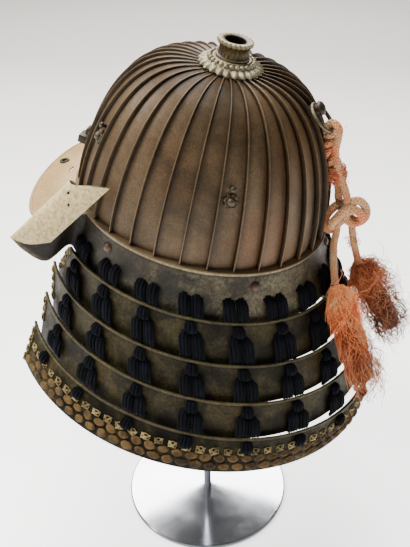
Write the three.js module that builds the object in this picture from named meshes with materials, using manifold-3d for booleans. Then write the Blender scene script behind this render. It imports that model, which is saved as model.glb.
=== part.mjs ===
// A samurai helmet (kabuto) on a disc-and-rod display stand.
// Units are millimetres and +Z is up. The helmet's front faces -Y and the wearer's left is +X.
// The origin is the centre of the underside of the stand's disc.
// The helmet is drawn upright about the centre of its bowl's lip, then leant back on the stand.

import * as THREE from 'three';
import loadManifold from 'manifold-3d';

const wasm = await loadManifold();
wasm.setup();

const rad = THREE.MathUtils.degToRad;
const lerp = THREE.MathUtils.lerp;
const vec = (x, y, z) => new THREE.Vector3(x, y, z);

// ---------------------------------------------------------------- driving dimensions

const gap = 0.35;                  // clear space between pieces that touch on the real helmet
const lipHeight = 407;             // bowl's lip above the table
const leanBack = 12.3;             // degrees that the helmet leans back on its stand

const bowl = {
  plates: 32,
  halfWidth: 112.4,                // plate face at the lip, across the helmet
  halfLength: 115.9,               // plate face at the lip, front to back
  height: 131.4,
  crownRadius: 24.6,               // open ring at the top where the plates end
  crownShift: -2.5,                // the crown sits slightly forward of the lip's centre
  sideCurve: 0.72,                 // lower keeps the walls upright for longer
  topCurve: 1.2,
  thickness: 1.2,
  ribWidth: 1.3,
  ribHeight: 3.5,
  ribHeightAtCrown: 0.8,
  tuck: 2.3,                       // how far a plate runs under its neighbour
  tuckDrop: 2.2,                   // depth of the tucked edge below the bowl's face
};

// Top edges of the neck guard's plates, then the bottom edge of the last one.
// frontEnd is the angle where the guard stops at that edge (front is -90, back is +90).
// The plate above an edge runs down behind it, by sideLap at the sides and backLap at the back,
// and frontLap further than the sides towards the front ends.
const neckEdges = [
  { z: -2.9, halfWidth: 114.4, halfLength: 117.9, shift: 0.0, frontEnd: -46.4,
    sideLap: 0, backLap: 0, frontLap: 0 },
  { z: -43.4, halfWidth: 126.6, halfLength: 137.0, shift: 7.2, frontEnd: -49,
    sideLap: 6.5, backLap: 6, frontLap: 3.5 },
  { z: -78.5, halfWidth: 139.0, halfLength: 151.6, shift: 15.9, frontEnd: -61,
    sideLap: 6.5, backLap: 5, frontLap: 10.5 },
  { z: -109.3, halfWidth: 151.8, halfLength: 164.5, shift: 23.2, frontEnd: -59,
    sideLap: 6.5, backLap: 2, frontLap: 10.5 },
  { z: -138.7, halfWidth: 165.2, halfLength: 178.0, shift: 27.5, frontEnd: -56.5,
    sideLap: 6.5, backLap: -1, frontLap: 10.5 },
  { z: -170.4, halfWidth: 180.2, halfLength: 187.3, shift: 24.4, frontEnd: -51,
    sideLap: 0, backLap: 0, frontLap: 0 },
];
const neck = {
  plates: 5,
  thickness: 1.6,
  plateSpace: 5.0,                 // clear space between a plate and the next one outside it
  rollHeight: 2.8,                 // rolled upper edge
  rollDepth: 1.0,
  step: 8.8,                       // degrees from one flat to the next, half a lacing pitch
};

const lacing = {
  columns: 16,
  pitch: 2 * neck.step,
  thickness: 3,
  clear: 0.8,                      // from the cord to a plate's face
  wide: 19.4,                      // the pair of strands outside
  narrow: 11,                      // where they pass through a plate
  holeDepth: 4.2,                  // hole below a plate's top edge
  firstHoleDepth: 24,              // hole in the tall first plate
  holeMargin: 0.45,
  flare: 11,                       // length of the narrow stitch before the pair spreads
};

const crown = {
  shift: -1, discRadius: 29, petals: 24, beadRadius: 18.9, boreRadius: 9.1, tubeTop: 23.5,
};
const stand = {
  discRadius: 95, discThickness: 5, rodRadius: 4, capRadius: 30, capTop: 535, sides: 30,
};
const cord = { radius: 3.5, sides: 8 };

// ---------------------------------------------------------------- materials

function paint(name, color, roughness, metalness) {
  return new THREE.MeshStandardMaterial({ name, color, roughness, metalness });
}
const russetIron = paint('russet_iron', 0x7a6148, 0.55, 0.6);
const lacquerPlate = paint('lacquered_neck_plate', 0x5a5043, 0.6, 0.3);
const brimIron = paint('brim_iron', 0xa79a86, 0.6, 0.35);
const darkIron = paint('dark_iron', 0x3c342b, 0.5, 0.7);
const crownMetal = paint('crown_metal', 0x9a8f7a, 0.45, 0.7);
const tubeMetal = paint('tube_metal', 0x4a3d2e, 0.45, 0.7);
const lacingSilk = paint('lacing_silk', 0x171c26, 0.85, 0.0);
const cordSilk = paint('cord_silk', 0xc8966a, 0.9, 0.0);
const frontSilk = paint('front_tassel_silk', 0xd4663c, 0.95, 0.0);
const rearSilk = paint('rear_tassel_silk', 0xab5c42, 0.95, 0.0);
const chrome = paint('polished_steel', 0xd8dade, 0.08, 1.0);

// ---------------------------------------------------------------- solids from sections

// Joins matching sections (rings of points) into one closed body. With closed true the last
// section meets the first. Otherwise both ends are capped along the flat outline given.
function loft(sections, outline, closed = false) {
  const ring = sections[0].length;
  const points = sections.flat();
  const faces = [];
  const spans = closed ? sections.length : sections.length - 1;
  for (let s = 0; s < spans; s++) {
    const next = (s + 1) % sections.length;
    for (let i = 0; i < ring; i++) {
      const j = (i + 1) % ring;
      const [a, b, c, d] = [s * ring + i, s * ring + j, next * ring + j, next * ring + i];
      faces.push([a, b, c], [a, c, d]);
    }
  }
  if (!closed) {
    const flat = outline.map(([x, y]) => new THREE.Vector2(x, y));
    const turn = THREE.ShapeUtils.isClockWise(flat) ? -1 : 1;
    const last = (sections.length - 1) * ring;
    for (const [a, b, c] of THREE.ShapeUtils.triangulateShape(flat, [])) {
      const [p, q] = turn > 0 ? [b, c] : [c, b];
      faces.push([a, q, p], [last + a, last + p, last + q]);
    }
  }
  return closedGeometry(points, faces);
}

// Makes an indexed geometry whose faces look outward.
function closedGeometry(points, faces) {
  const cross = new THREE.Vector3();
  let volume = 0;
  for (const [a, b, c] of faces) {
    volume += points[a].dot(cross.crossVectors(points[b], points[c]));
  }
  const order = volume < 0 ? faces.map(([a, b, c]) => [a, c, b]) : faces;
  const geometry = new THREE.BufferGeometry();
  geometry.setAttribute('position', new THREE.Float32BufferAttribute(
    points.flatMap((p) => [p.x, p.y, p.z]), 3));
  geometry.setIndex(order.flat());
  return geometry;
}

// Turns a three.js geometry into a manifold solid, with its shared corners merged.
function toManifold(geometry) {
  const position = geometry.getAttribute('position');
  const index = geometry.getIndex();
  const corners = new Map();
  const vertices = [];
  const lookup = [];
  for (let i = 0; i < position.count; i++) {
    const xyz = [position.getX(i), position.getY(i), position.getZ(i)];
    const key = xyz.map((v) => Math.round(v * 1e4)).join(',');
    if (!corners.has(key)) {
      corners.set(key, vertices.length / 3);
      vertices.push(...xyz);
    }
    lookup.push(corners.get(key));
  }
  const order = index ? Array.from(index.array) : lookup.map((_, i) => i);
  const triVerts = [];
  for (let i = 0; i < order.length; i += 3) {
    const [a, b, c] = [lookup[order[i]], lookup[order[i + 1]], lookup[order[i + 2]]];
    if (a !== b && b !== c && c !== a) triVerts.push(a, b, c);
  }
  return new wasm.Manifold(new wasm.Mesh({
    numProp: 3,
    vertProperties: new Float32Array(vertices),
    triVerts: new Uint32Array(triVerts),
  }));
}

function fromManifold(solid) {
  const mesh = solid.getMesh();
  const geometry = new THREE.BufferGeometry();
  geometry.setAttribute('position', new THREE.Float32BufferAttribute(mesh.vertProperties, 3));
  geometry.setIndex(Array.from(mesh.triVerts));
  return geometry;
}

const join = (...geometries) => fromManifold(wasm.Manifold.union(geometries.map(toManifold)));

function cut(geometry, cutters) {
  const body = toManifold(geometry);
  return fromManifold(body.subtract(wasm.Manifold.union(cutters.map(toManifold))));
}

// Moves a geometry so that its Z axis points along `up` and its origin lies at `origin`.
function standOn(geometry, origin, up, turn = 0) {
  const spin = new THREE.Quaternion().setFromUnitVectors(vec(0, 0, 1), up.clone().normalize());
  geometry.rotateZ(turn);
  return geometry.applyQuaternion(spin).translate(origin.x, origin.y, origin.z);
}

// A turned body about Z, from a closed outline of [radius, height] pairs.
function turned(outline, sides) {
  const shape = outline.map(([r, z]) => new THREE.Vector2(r, z));
  const geometry = new THREE.LatheGeometry([...shape, shape[0]], sides);
  return geometry.rotateX(Math.PI / 2);
}

// ---------------------------------------------------------------- groups and naming

const part = new THREE.Group();
const helmet = new THREE.Group();
helmet.position.set(0, 3.5, lipHeight);
helmet.rotation.x = -rad(leanBack);
part.add(helmet);
const hung = new THREE.Group();     // cord and tassels hang plumb from the helmet
hung.position.set(0, 3.5, lipHeight);
part.add(hung);

function add(group, name, geometry, material) {
  const mesh = new THREE.Mesh(geometry, material);
  mesh.name = name;
  group.add(mesh);
  return mesh;
}

// ---------------------------------------------------------------- bowl

// A point on the bowl's face: rise runs from 0 at the lip to 1 at the crown ring.
function bowlFace(degrees, rise) {
  const reach = Math.max(Math.cos(rise * Math.PI / 2), 0) ** bowl.sideCurve;
  const climb = Math.sin(rise * Math.PI / 2) ** bowl.topCurve;
  const across = lerp(bowl.crownRadius, bowl.halfWidth, reach);
  const along = lerp(bowl.crownRadius, bowl.halfLength, reach);
  return vec(
    across * Math.cos(rad(degrees)),
    bowl.crownShift * climb + along * Math.sin(rad(degrees)),
    bowl.height * climb,
  );
}

function bowlNormal(degrees, rise) {
  const low = Math.max(rise - 0.01, 0);
  const high = Math.min(rise + 0.01, 0.995);
  const up = bowlFace(degrees, high).sub(bowlFace(degrees, low));
  const round = bowlFace(degrees + 1, rise).sub(bowlFace(degrees - 1, rise));
  return round.cross(up).normalize();
}

const onBowl = (degrees, rise, lift) =>
  bowlFace(degrees, rise).addScaledVector(bowlNormal(degrees, rise), lift);

// One long tapering plate, with a rib turned up along its leading edge.
function bowlPlate(leadAngle) {
  const rises = [0, 0.17, 0.35, 0.54, 0.73, 0.89, 1];
  const pitch = 360 / bowl.plates;
  let outline = [];
  const sections = rises.map((rise) => {
    const near = bowlFace(leadAngle, rise);
    const arc = near.distanceTo(bowlFace(leadAngle + pitch, rise));
    const overlap = Math.min(bowl.tuck, 0.25 * arc);
    const ribHeight = lerp(bowl.ribHeight, bowl.ribHeightAtCrown, rise ** 5);
    const far = arc + overlap;
    outline = [
      [0, ribHeight], [bowl.ribWidth, ribHeight], [bowl.ribWidth, 0],
      [far, -bowl.tuckDrop], [far, -bowl.tuckDrop - bowl.thickness], [0, -bowl.thickness],
    ];
    return outline.map(([s, lift]) => onBowl(leadAngle + pitch * s / arc, rise, lift));
  });
  return loft(sections, outline);
}

// A flower-shaped washer with a domed rivet, and a small pin above it.
function flowerRivet(degrees) {
  const washerRise = 0.355;
  const pinRise = 0.41;
  const washer = turned([[0, -2.5], [6, -2.5], [6, 1.2], [2.8, 3], [0, 5]], 8);
  const pin = turned([[0, -2.5], [2.6, -2.5], [2.6, 3.2], [0, 5]], 6);
  standOn(washer, bowlFace(degrees, washerRise), bowlNormal(degrees, washerRise));
  standOn(pin, bowlFace(degrees, pinRise), bowlNormal(degrees, pinRise));
  return [washer, pin];
}

const rivetAngles = [-123.75, -56.25, 22.5, 157.5];
for (let k = 0; k < bowl.plates; k++) {
  const pitch = 360 / bowl.plates;
  const middle = -90 + k * pitch;                      // plate 1 is at the front centre
  let plate = bowlPlate(middle - pitch / 2);
  if (rivetAngles.some((a) => Math.abs(a - middle) < 1)) {
    plate = join(plate, ...flowerRivet(middle));
  }
  add(helmet, `bowl_plate_${String(k + 1).padStart(2, '0')}`, plate, russetIron);
}

// ---------------------------------------------------------------- crown ornament

// A turned body whose radius and height swell and shrink round it, as petals and beads do.
function petalled(outline, petals) {
  const sides = petals * 2;
  const sections = [];
  for (let i = 0; i < sides; i++) {
    const angle = i * 2 * Math.PI / sides;
    sections.push(outline.map(([r, z, notch, dip]) => {
      const radius = r - (i % 2 ? notch : 0);
      return vec(radius * Math.cos(angle), radius * Math.sin(angle), z - (i % 2 ? dip : 0));
    }));
  }
  return loft(sections, null, true);
}

const crownFoot = bowl.height + bowl.ribHeightAtCrown + gap;
const crownBase = petalled([
  [crown.boreRadius + 1.5, 0, 0, 0], [crown.discRadius, 0, 1.6, 0],
  [crown.discRadius - 2.5, 3.2, 1.4, 0.6], [crown.beadRadius, 4.6, 1.2, 0.4],
  [crown.beadRadius - 1.6, 7.8, 0.6, 1.2], [crown.boreRadius + 1.5, 7.8, 0, 0],
], crown.petals);
crownBase.translate(0, crown.shift, crownFoot);
add(helmet, 'crown_base', crownBase, crownMetal);

const tubeFoot = 7.8 + gap;
const crownTube = petalled([
  [crown.boreRadius, tubeFoot, 0, 0], [14.2, tubeFoot, 0, 0], [12.4, tubeFoot + 4.5, 0.8, 0],
  [13, 18.5, 1, 0], [15.8, 21.2, 1, 0], [15.8, crown.tubeTop, 1, 0],
  [crown.boreRadius, crown.tubeTop - 0.8, 0, 0],
], 14);
crownTube.translate(0, crown.shift, crownFoot);
add(helmet, 'crown_tube', crownTube, tubeMetal);

// ---------------------------------------------------------------- base band

// A point on one of the neck guard's edges.
function neckRing(edge, degrees, inset = 0) {
  return vec(
    (edge.halfWidth - inset) * Math.cos(rad(degrees)),
    edge.shift + (edge.halfLength - inset) * Math.sin(rad(degrees)),
    edge.z,
  );
}

// Frame of one neck plate at an angle: its top corner, way down, way out and height.
function neckFrame(plate, degrees, footDegrees = degrees) {
  const inset = plate < neck.plates ? neck.thickness + neck.plateSpace : 0;
  const top = neckRing(neckEdges[plate - 1], degrees);
  const foot = neckRing(neckEdges[plate], footDegrees, inset);
  const down = foot.clone().sub(top);
  const { sideLap, backLap, frontLap } = neckEdges[plate];
  const { smoothstep } = THREE.MathUtils;
  const fromSide = degrees < 90 ? degrees : 180 - degrees;
  const lap = lerp(sideLap, backLap, smoothstep(fromSide, 20, 80))
    + frontLap * smoothstep(-fromSide, 10, 50);
  const height = down.length() + lap;
  down.normalize();
  const round = neckRing(neckEdges[plate - 1], degrees + 1)
    .sub(neckRing(neckEdges[plate - 1], degrees - 1)).normalize();
  const out = down.clone().cross(round).normalize();
  return { top, down, out, round, height };
}

// A point depth mm below a plate's top edge, lift mm outside its face and side mm round it.
function onNeck(frame, depth, lift, side = 0) {
  return frame.top.clone().addScaledVector(frame.down, depth)
    .addScaledVector(frame.out, lift).addScaledVector(frame.round, side);
}

// The band riveted inside the lip, with a flange that carries the bowl's plates. It flares
// a little towards the first neck plate.
const band = { flange: 3.2, flangeDepth: 1.5, face: -3, thickness: 1.5, height: 20, flare: 0.125 };
const bandFace = (z) => band.face - z * band.flare;

function lipOut(degrees) {
  const [edge] = neckEdges;
  return vec(Math.cos(rad(degrees)) / edge.halfWidth, Math.sin(rad(degrees)) / edge.halfLength, 0)
    .normalize();
}

// A point beside the lip: lift outside it, z above the bowl's foot.
const besideLip = (degrees, lift, z) =>
  neckRing({ ...neckEdges[0], z }, degrees).addScaledVector(lipOut(degrees), lift);

function baseBand() {
  const under = -gap - band.flangeDepth;
  const outline = [
    [-6, -gap], [band.flange, -gap], [band.flange, under], [bandFace(under), under],
    [bandFace(-band.height), -band.height], [bandFace(-band.height) - band.thickness, -band.height],
    [-6, under],
  ];
  const sections = [];
  for (let degrees = 0; degrees < 360; degrees += 12) {
    sections.push(outline.map(([lift, z]) => besideLip(degrees, lift, z)));
  }
  return loft(sections, null, true);
}
add(helmet, 'base_band', baseBand(), darkIron);

// ---------------------------------------------------------------- neck guard

// Cross-section of a plate as [depth, lift], with its rolled upper edge.
function plateOutline(height) {
  return [
    [0, neck.rollDepth], [neck.rollHeight, 0], [height, 0], [height, -neck.thickness],
    [0, -neck.thickness],
  ];
}

const plateSection = (frame) =>
  plateOutline(frame.height).map(([depth, lift]) => onNeck(frame, depth, lift));

// Frames round the wearer's left, from the back centre to the front end. The corners lie
// half a lacing pitch apart, so that each lacing column sits on the middle of a flat.
function leftFrames(plate) {
  const topEnd = neckEdges[plate - 1].frontEnd;
  const footEnd = plate === 1 ? topEnd : neckEdges[plate].frontEnd;
  const frames = [];
  let corner = 90 - neck.step / 2;
  for (; corner > Math.max(topEnd, footEnd) + 1; corner -= neck.step) {
    frames.push(neckFrame(plate, corner));
  }
  const last = corner + neck.step;
  const steps = Math.ceil(Math.abs(last - Math.min(topEnd, footEnd)) / neck.step);
  for (let i = 1; i <= steps; i++) {
    const share = i / steps;
    frames.push(neckFrame(plate, lerp(last, topEnd, share), lerp(last, footEnd, share)));
  }
  return frames;
}

// The first plate runs forward, turns outward and folds back as a small wing.
// One row for each section, from the plate's front end to the wing's free edge.
const wingRows = [
  { topX: 83, topY: -93, topZ: -2.8, footX: 86, footY: -95.5, footZ: -39.5 },
  { topX: 88, topY: -95, topZ: 14, footX: 103, footY: -111, footZ: -53 },
  { topX: 88, topY: -95, topZ: 27, footX: 108, footY: -131, footZ: -45 },
  { topX: 90, topY: -99, topZ: 30, footX: 112, footY: -140, footZ: -34 },
  { topX: 96, topY: -95, topZ: 31, footX: 119, footY: -137, footZ: -27 },
  { topX: 97, topY: -79, topZ: 36, footX: 120, footY: -121, footZ: -26 },
  { topX: 96, topY: -62, topZ: 39, footX: 114, footY: -103, footZ: -21 },
];
const wingSteps = 11;

function wingFrame(start, share) {
  const tops = [start.top, ...wingRows.map((r) => vec(r.topX, r.topY, r.topZ))];
  const startFoot = start.top.clone().addScaledVector(start.down, start.height);
  const feet = [startFoot, ...wingRows.map((r) => vec(r.footX, r.footY, r.footZ))];
  const topCurve = new THREE.CatmullRomCurve3(tops, false, 'centripetal');
  const footCurve = new THREE.CatmullRomCurve3(feet, false, 'centripetal');
  const top = topCurve.getPoint(share);
  const down = footCurve.getPoint(share).sub(top);
  const height = down.length();
  down.normalize();
  const round = topCurve.getTangent(share).add(footCurve.getTangent(share)).negate();
  const out = down.clone().cross(round).normalize();
  return { top, down, out, round, height };
}

function wingFrames(start) {
  const frames = [];
  for (let i = 1; i <= wingSteps; i++) frames.push(wingFrame(start, i / wingSteps));
  return frames;
}

const mirrored = (section) => section.map((p) => vec(-p.x, p.y, p.z));

function neckPlate(plate) {
  const frames = leftFrames(plate);
  if (plate === 1) frames.push(...wingFrames(frames.at(-1)));
  const left = frames.map(plateSection);
  const right = left.map(mirrored);
  return loft([...right.reverse(), ...left], plateOutline(frames[0].height));
}

// Two small holes in each wing, where a crest disc would be fastened.
const wingHoleSpots = [{ share: 0.765, depth: 10.3 }, { share: 0.85, depth: 25.2 }];

function wingHoles() {
  const start = leftFrames(1).at(-1);
  const holes = wingHoleSpots.map(({ share, depth }) => {
    const frame = wingFrame(start, share);
    const hole = new THREE.CylinderGeometry(1.4, 1.4, 8, 6).rotateX(Math.PI / 2);
    return standOn(hole, onNeck(frame, depth, 0), frame.out);
  });
  return [...holes, ...holes.map((hole) => mirrorX(hole.clone()))];
}

// Mirrors a geometry across the helmet's middle and keeps its faces outward.
function mirrorX(geometry) {
  geometry.scale(-1, 1, 1);
  const order = Array.from(geometry.getIndex().array);
  const turnedOver = [];
  for (let i = 0; i < order.length; i += 3) turnedOver.push(order[i], order[i + 2], order[i + 1]);
  return geometry.setIndex(turnedOver);
}

// Dome rivets that fasten the first plate to the base band.
const bandRivets = { angles: [-28, 38, 96, 142, 208], depth: 13, radius: 4.5, height: 3.2 };

function domeRivet(frame, depth) {
  const { radius, height } = bandRivets;
  const dome = turned([[0, -0.8], [radius, -0.8], [radius, 0.5], [radius * 0.6, height * 0.8],
    [0, height]], 8);
  return standOn(dome, onNeck(frame, depth, 0), frame.out);
}

// ---------------------------------------------------------------- lacing

const columnAngles = [];
for (let i = 0; i < lacing.columns; i++) {
  columnAngles.push(90 + lacing.pitch * (i - (lacing.columns - 1) / 2));
}

const holeDepthOf = (plate) => (plate === 1 ? lacing.firstHoleDepth : lacing.holeDepth);

// A box that cuts a lacing hole through a plate.
function holeCutter(plate, degrees) {
  const frame = neckFrame(plate, degrees);
  const { thickness, holeMargin, narrow } = lacing;
  const size = [narrow + 2 * holeMargin, thickness + 2 * holeMargin, 12];
  const box = new THREE.BoxGeometry(...size);
  const basis = new THREE.Matrix4().makeBasis(frame.round, frame.down, frame.out);
  if (basis.determinant() < 0) basis.makeBasis(frame.round.clone().negate(), frame.down, frame.out);
  const centre = onNeck(frame, holeDepthOf(plate) + thickness / 2, 0);
  return box.applyMatrix4(basis.setPosition(centre));
}

// One column of cord. It starts behind the first plate, comes out through its hole, runs down
// its face, tucks behind the next plate's rolled edge and comes out through that plate's hole.
function lacingColumn(degrees) {
  const { thickness, clear, wide, narrow, flare } = lacing;
  const outer = clear + thickness;
  const behind = -neck.thickness - clear;
  const sections = [];
  const station = (frame, near, far, width) => sections.push([
    onNeck(frame, near[0], near[1], -width / 2), onNeck(frame, near[0], near[1], width / 2),
    onNeck(frame, far[0], far[1], width / 2), onNeck(frame, far[0], far[1], -width / 2),
  ]);
  for (let plate = 1; plate <= neck.plates; plate++) {
    const frame = neckFrame(plate, degrees);
    const hole = holeDepthOf(plate);
    if (plate === 1) station(frame, [hole - 6, behind], [hole - 6, behind - thickness], narrow);
    station(frame, [hole, behind], [hole + thickness, behind - thickness], narrow);
    station(frame, [hole, outer], [hole + thickness, clear], narrow);
    const spread = plate === 1 ? thickness + 3 : flare;
    const pair = plate === neck.plates ? narrow : wide;
    station(frame, [hole + spread, outer], [hole + spread, clear], pair);
    if (plate === neck.plates) break;
    const edge = neckFrame(plate + 1, degrees).top.sub(frame.top).dot(frame.down);
    station(frame, [edge + 1, outer], [edge + 1, clear], wide);
  }
  return loft(sections, [[0, 0], [1, 0], [1, 1], [0, 1]]);
}

// Two neighbouring columns are one cord, which crosses between them inside the first plate.
function lacingPair(first, second) {
  const depth = holeDepthOf(1) - 5;
  const inner = -neck.thickness - lacing.clear;
  const { thickness } = lacing;
  const sections = [];
  for (let i = 0; i <= 3; i++) {
    const frame = neckFrame(1, lerp(first, second, i / 3));
    sections.push([[depth, inner - 1], [depth, inner - thickness], [depth + 3, inner - thickness],
      [depth + 3, inner - 1]].map(([d, lift]) => onNeck(frame, d, lift)));
  }
  const bridge = loft(sections, [[0, 0], [1, 0], [1, 1], [0, 1]]);
  return join(lacingColumn(first), lacingColumn(second), bridge);
}

for (let plate = 1; plate <= neck.plates; plate++) {
  const holes = columnAngles.map((a) => holeCutter(plate, a));
  let geometry = cut(neckPlate(plate), plate === 1 ? [...holes, ...wingHoles()] : holes);
  if (plate === 1) {
    geometry = join(geometry,
      ...bandRivets.angles.map((a) => domeRivet(neckFrame(1, a), bandRivets.depth)));
  }
  add(helmet, `neck_plate_${plate}`, geometry, lacquerPlate);
}
for (let i = 0; i < lacing.columns; i += 2) {
  add(helmet, `lacing_${i / 2 + 1}`, lacingPair(columnAngles[i], columnAngles[i + 1]), lacingSilk);
}

// ---------------------------------------------------------------- brim

const brim = {
  halfAngle: 43,                   // either side of the front, along the lip
  rimHalfWidth: 90.3, rimSide: 126.5, rimFront: 156, rimSideZ: -22.7, rimFrontZ: -17.7,
  thickness: 1.6, swell: 2.5, edgeRise: 1.2, flangeFoot: -15, sections: 16,
};

function brimGeometry() {
  const sections = [];
  for (let i = 0; i <= brim.sections; i++) {
    const u = lerp(-1, 1, i / brim.sections);
    const degrees = -90 + u * brim.halfAngle;
    const swing = Math.cos(u * Math.PI / 2);
    const pull = 1 - 0.25 * Math.abs(u) ** 12;       // rounds off the brim's corners
    const rootZ = -2 * gap - band.flangeDepth;
    const faceAt = (z) => bandFace(z) + gap;
    const root = besideLip(degrees, faceAt(rootZ) + brim.thickness, rootZ);
    const rim = vec(brim.rimHalfWidth * Math.sin(u * Math.PI / 2),
      -lerp(brim.rimSide, brim.rimFront, swing), lerp(brim.rimSideZ, brim.rimFrontZ, swing));
    rim.lerpVectors(root, rim, pull);
    const middle = root.clone().lerp(rim, 0.5).add(vec(0, 0, brim.swell));
    const inner = root.clone().lerp(rim, 0.95);
    const raise = (p, dz) => p.clone().add(vec(0, 0, dz));
    sections.push([
      besideLip(degrees, faceAt(rootZ), rootZ), root, middle, raise(inner, 0),
      raise(inner, brim.edgeRise), raise(rim, brim.edgeRise), raise(rim, -brim.thickness),
      raise(middle, -brim.thickness),
      besideLip(degrees, faceAt(rootZ - 3) + brim.thickness, rootZ - 3),
      besideLip(degrees, faceAt(brim.flangeFoot) + brim.thickness, brim.flangeFoot),
      besideLip(degrees, faceAt(brim.flangeFoot), brim.flangeFoot),
    ]);
  }
  const outline = [[0, 0], [1.6, 0], [18, -5], [36, -15], [36, -13], [38, -13], [38, -17],
    [18, -7], [1.7, -3], [1.8, -13], [0.2, -13]];
  const hole = new THREE.CylinderGeometry(2.6, 2.6, 30, 8).rotateX(Math.PI / 2);
  hole.translate(0, -142, -12);
  const slots = [-17.5, 17.5].map((x) =>
    new THREE.BoxGeometry(11, 2.2, 30).translate(x, -127.5, -12));
  return cut(loft(sections, outline), [hole, ...slots]);
}
add(helmet, 'brim', brimGeometry(), brimIron);

// ---------------------------------------------------------------- crest holder

const holder = {
  rise: 0.165, plateWidth: 15, plateHeight: 20,
  sleeve: [13, 8, 12.5], sleeveDrop: 4,          // the box the crest's foot slides into
  lug: [10, 6.5, 7.5], lugRise: 5,               // the smaller collar above it
  slot: [9, 3.2],
};

function crestHolder() {
  const clear = 0.9;
  const plate = new THREE.BoxGeometry(holder.plateWidth, holder.plateHeight, 1.6)
    .translate(0, 0, clear + 0.8);
  const sleeve = new THREE.BoxGeometry(...holder.sleeve)
    .translate(0, -holder.sleeveDrop, clear + 0.5 + holder.sleeve[2] / 2);
  const lug = new THREE.BoxGeometry(...holder.lug)
    .translate(0, holder.lugRise, clear + 0.5 + holder.lug[2] / 2);
  const [slotWidth, slotDepth] = holder.slot;
  const slot = new THREE.BoxGeometry(slotWidth, 40, slotDepth)
    .translate(0, 0, clear + 2 + slotDepth / 2 + 0.6);
  const body = cut(join(plate, sleeve, lug), [slot]);
  return standOn(body, bowlFace(-90, holder.rise), bowlNormal(-90, holder.rise));
}
add(helmet, 'crest_holder', crestHolder(), darkIron);

// ---------------------------------------------------------------- back ring

const backRing = { rise: 0.68, radius: 14, wire: 1.8, postRadius: 3.2, neckTop: 7.8, wireHeight: 5,
  lean: 10 };

const postFoot = bowlFace(90, backRing.rise);
const postOut = bowlNormal(90, backRing.rise);
const postDown = postOut.clone().cross(vec(1, 0, 0)).normalize();

function ringPost() {
  const { postRadius, neckTop } = backRing;
  const post = turned([[0, 1.2], [6, 1.2], [5.6, 2.1], [postRadius, 2.3], [postRadius, neckTop],
    [7.2, neckTop + 0.4], [6, neckTop + 3.4], [0, neckTop + 5.2]], 12);
  return standOn(post, postFoot, postOut);
}
add(helmet, 'back_ring_post', ringPost(), darkIron);

const ringDrop = backRing.radius - backRing.wire - backRing.postRadius - gap;
// The cord behind the ring's foot holds it away from the bowl.
const ringHang = postDown.clone().applyAxisAngle(vec(1, 0, 0), rad(backRing.lean));
const ringFace = postOut.clone().applyAxisAngle(vec(1, 0, 0), rad(backRing.lean));

function ringGeometry() {
  const ring = new THREE.TorusGeometry(backRing.radius, backRing.wire, 6, 20);
  const centre = postFoot.clone().addScaledVector(postOut, backRing.wireHeight)
    .addScaledVector(ringHang, ringDrop);
  return standOn(ring, centre, ringFace);
}
add(helmet, 'back_ring', ringGeometry(), darkIron);

// ---------------------------------------------------------------- stand

function standGeometry() {
  const { discRadius, discThickness, rodRadius, capRadius, capTop } = stand;
  return turned([
    [0, 0], [discRadius, 0], [discRadius, discThickness - 1], [discRadius - 1, discThickness],
    [rodRadius, discThickness], [rodRadius, capTop - 12], [capRadius, capTop - 8],
    [capRadius * 0.6, capTop - 2.4], [0, capTop],
  ], stand.sides);
}
add(part, 'display_stand', standGeometry(), chrome);

// ---------------------------------------------------------------- tied cord and tassels

// Points below are in the plumb frame at the centre of the bowl's lip.
const knot = { centre: [0, 136, 0], halfHeight: 13 };
const cordRoutes = {
  cord_loop: [
    [-4, 127, 13.4], [-4, 126.8, 18], [-4.5, 124.5, 30], [-4.5, 121.5, 44], [-3.5, 117, 60],
    [-1.2, 112.8, 74.6], [0, 113.2, 82.5], [1.2, 118.5, 86.2], [2.6, 123.4, 82],
    [3.6, 123.6, 74], [4, 122.2, 64], [4, 123, 54], [4, 126.5, 42], [4, 131.5, 30],
    [4, 135.6, 18], [4, 136, 13.4],
  ],
  cord_front: [
    [6, 129, -13.4], [6.2, 129, -18], [10, 128, -30], [19, 130, -44], [28, 133.5, -57],
    [30, 134.5, -60],
  ],
  cord_rear: [
    [-3, 142, -13.4], [-3, 142.3, -18], [-3, 145, -32], [-2.5, 149, -46], [-2.5, 151.5, -54],
  ],
};

function cordTube(route) {
  const path = new THREE.CatmullRomCurve3(route.map((p) => vec(...p)), false, 'centripetal');
  const section = new THREE.Shape();
  for (let i = 0; i < cord.sides; i++) {
    const angle = i * 2 * Math.PI / cord.sides;
    const point = [cord.radius * Math.cos(angle), cord.radius * Math.sin(angle)];
    if (i) section.lineTo(...point);
    else section.moveTo(...point);
  }
  const steps = Math.round(path.getLength() / 5.5);
  return new THREE.ExtrudeGeometry(section, { steps, extrudePath: path, bevelEnabled: false });
}
for (const [name, route] of Object.entries(cordRoutes)) add(hung, name, cordTube(route), cordSilk);

// The tied bow, as the outer shape of its turns.
function knotGeometry() {
  const rows = [
    { z: -1, x: 7, y: 14 }, { z: -0.75, x: 9.5, y: 17.5 }, { z: 0, x: 11, y: 18.5 },
    { z: 0.75, x: 9.5, y: 17.5 }, { z: 1, x: 7, y: 14 },
  ];
  const sides = 16;
  const ring = (row) => Array.from({ length: sides }, (_, i) => {
    const angle = i * 2 * Math.PI / sides;
    return vec(row.x * Math.cos(angle), row.y * Math.sin(angle), row.z * knot.halfHeight)
      .add(vec(...knot.centre));
  });
  const outline = Array.from({ length: sides }, (_, i) =>
    [Math.cos(i * 2 * Math.PI / sides), Math.sin(i * 2 * Math.PI / sides)]);
  return loft(rows.map(ring), outline);
}
add(hung, 'cord_knot', knotGeometry(), cordSilk);

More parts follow.
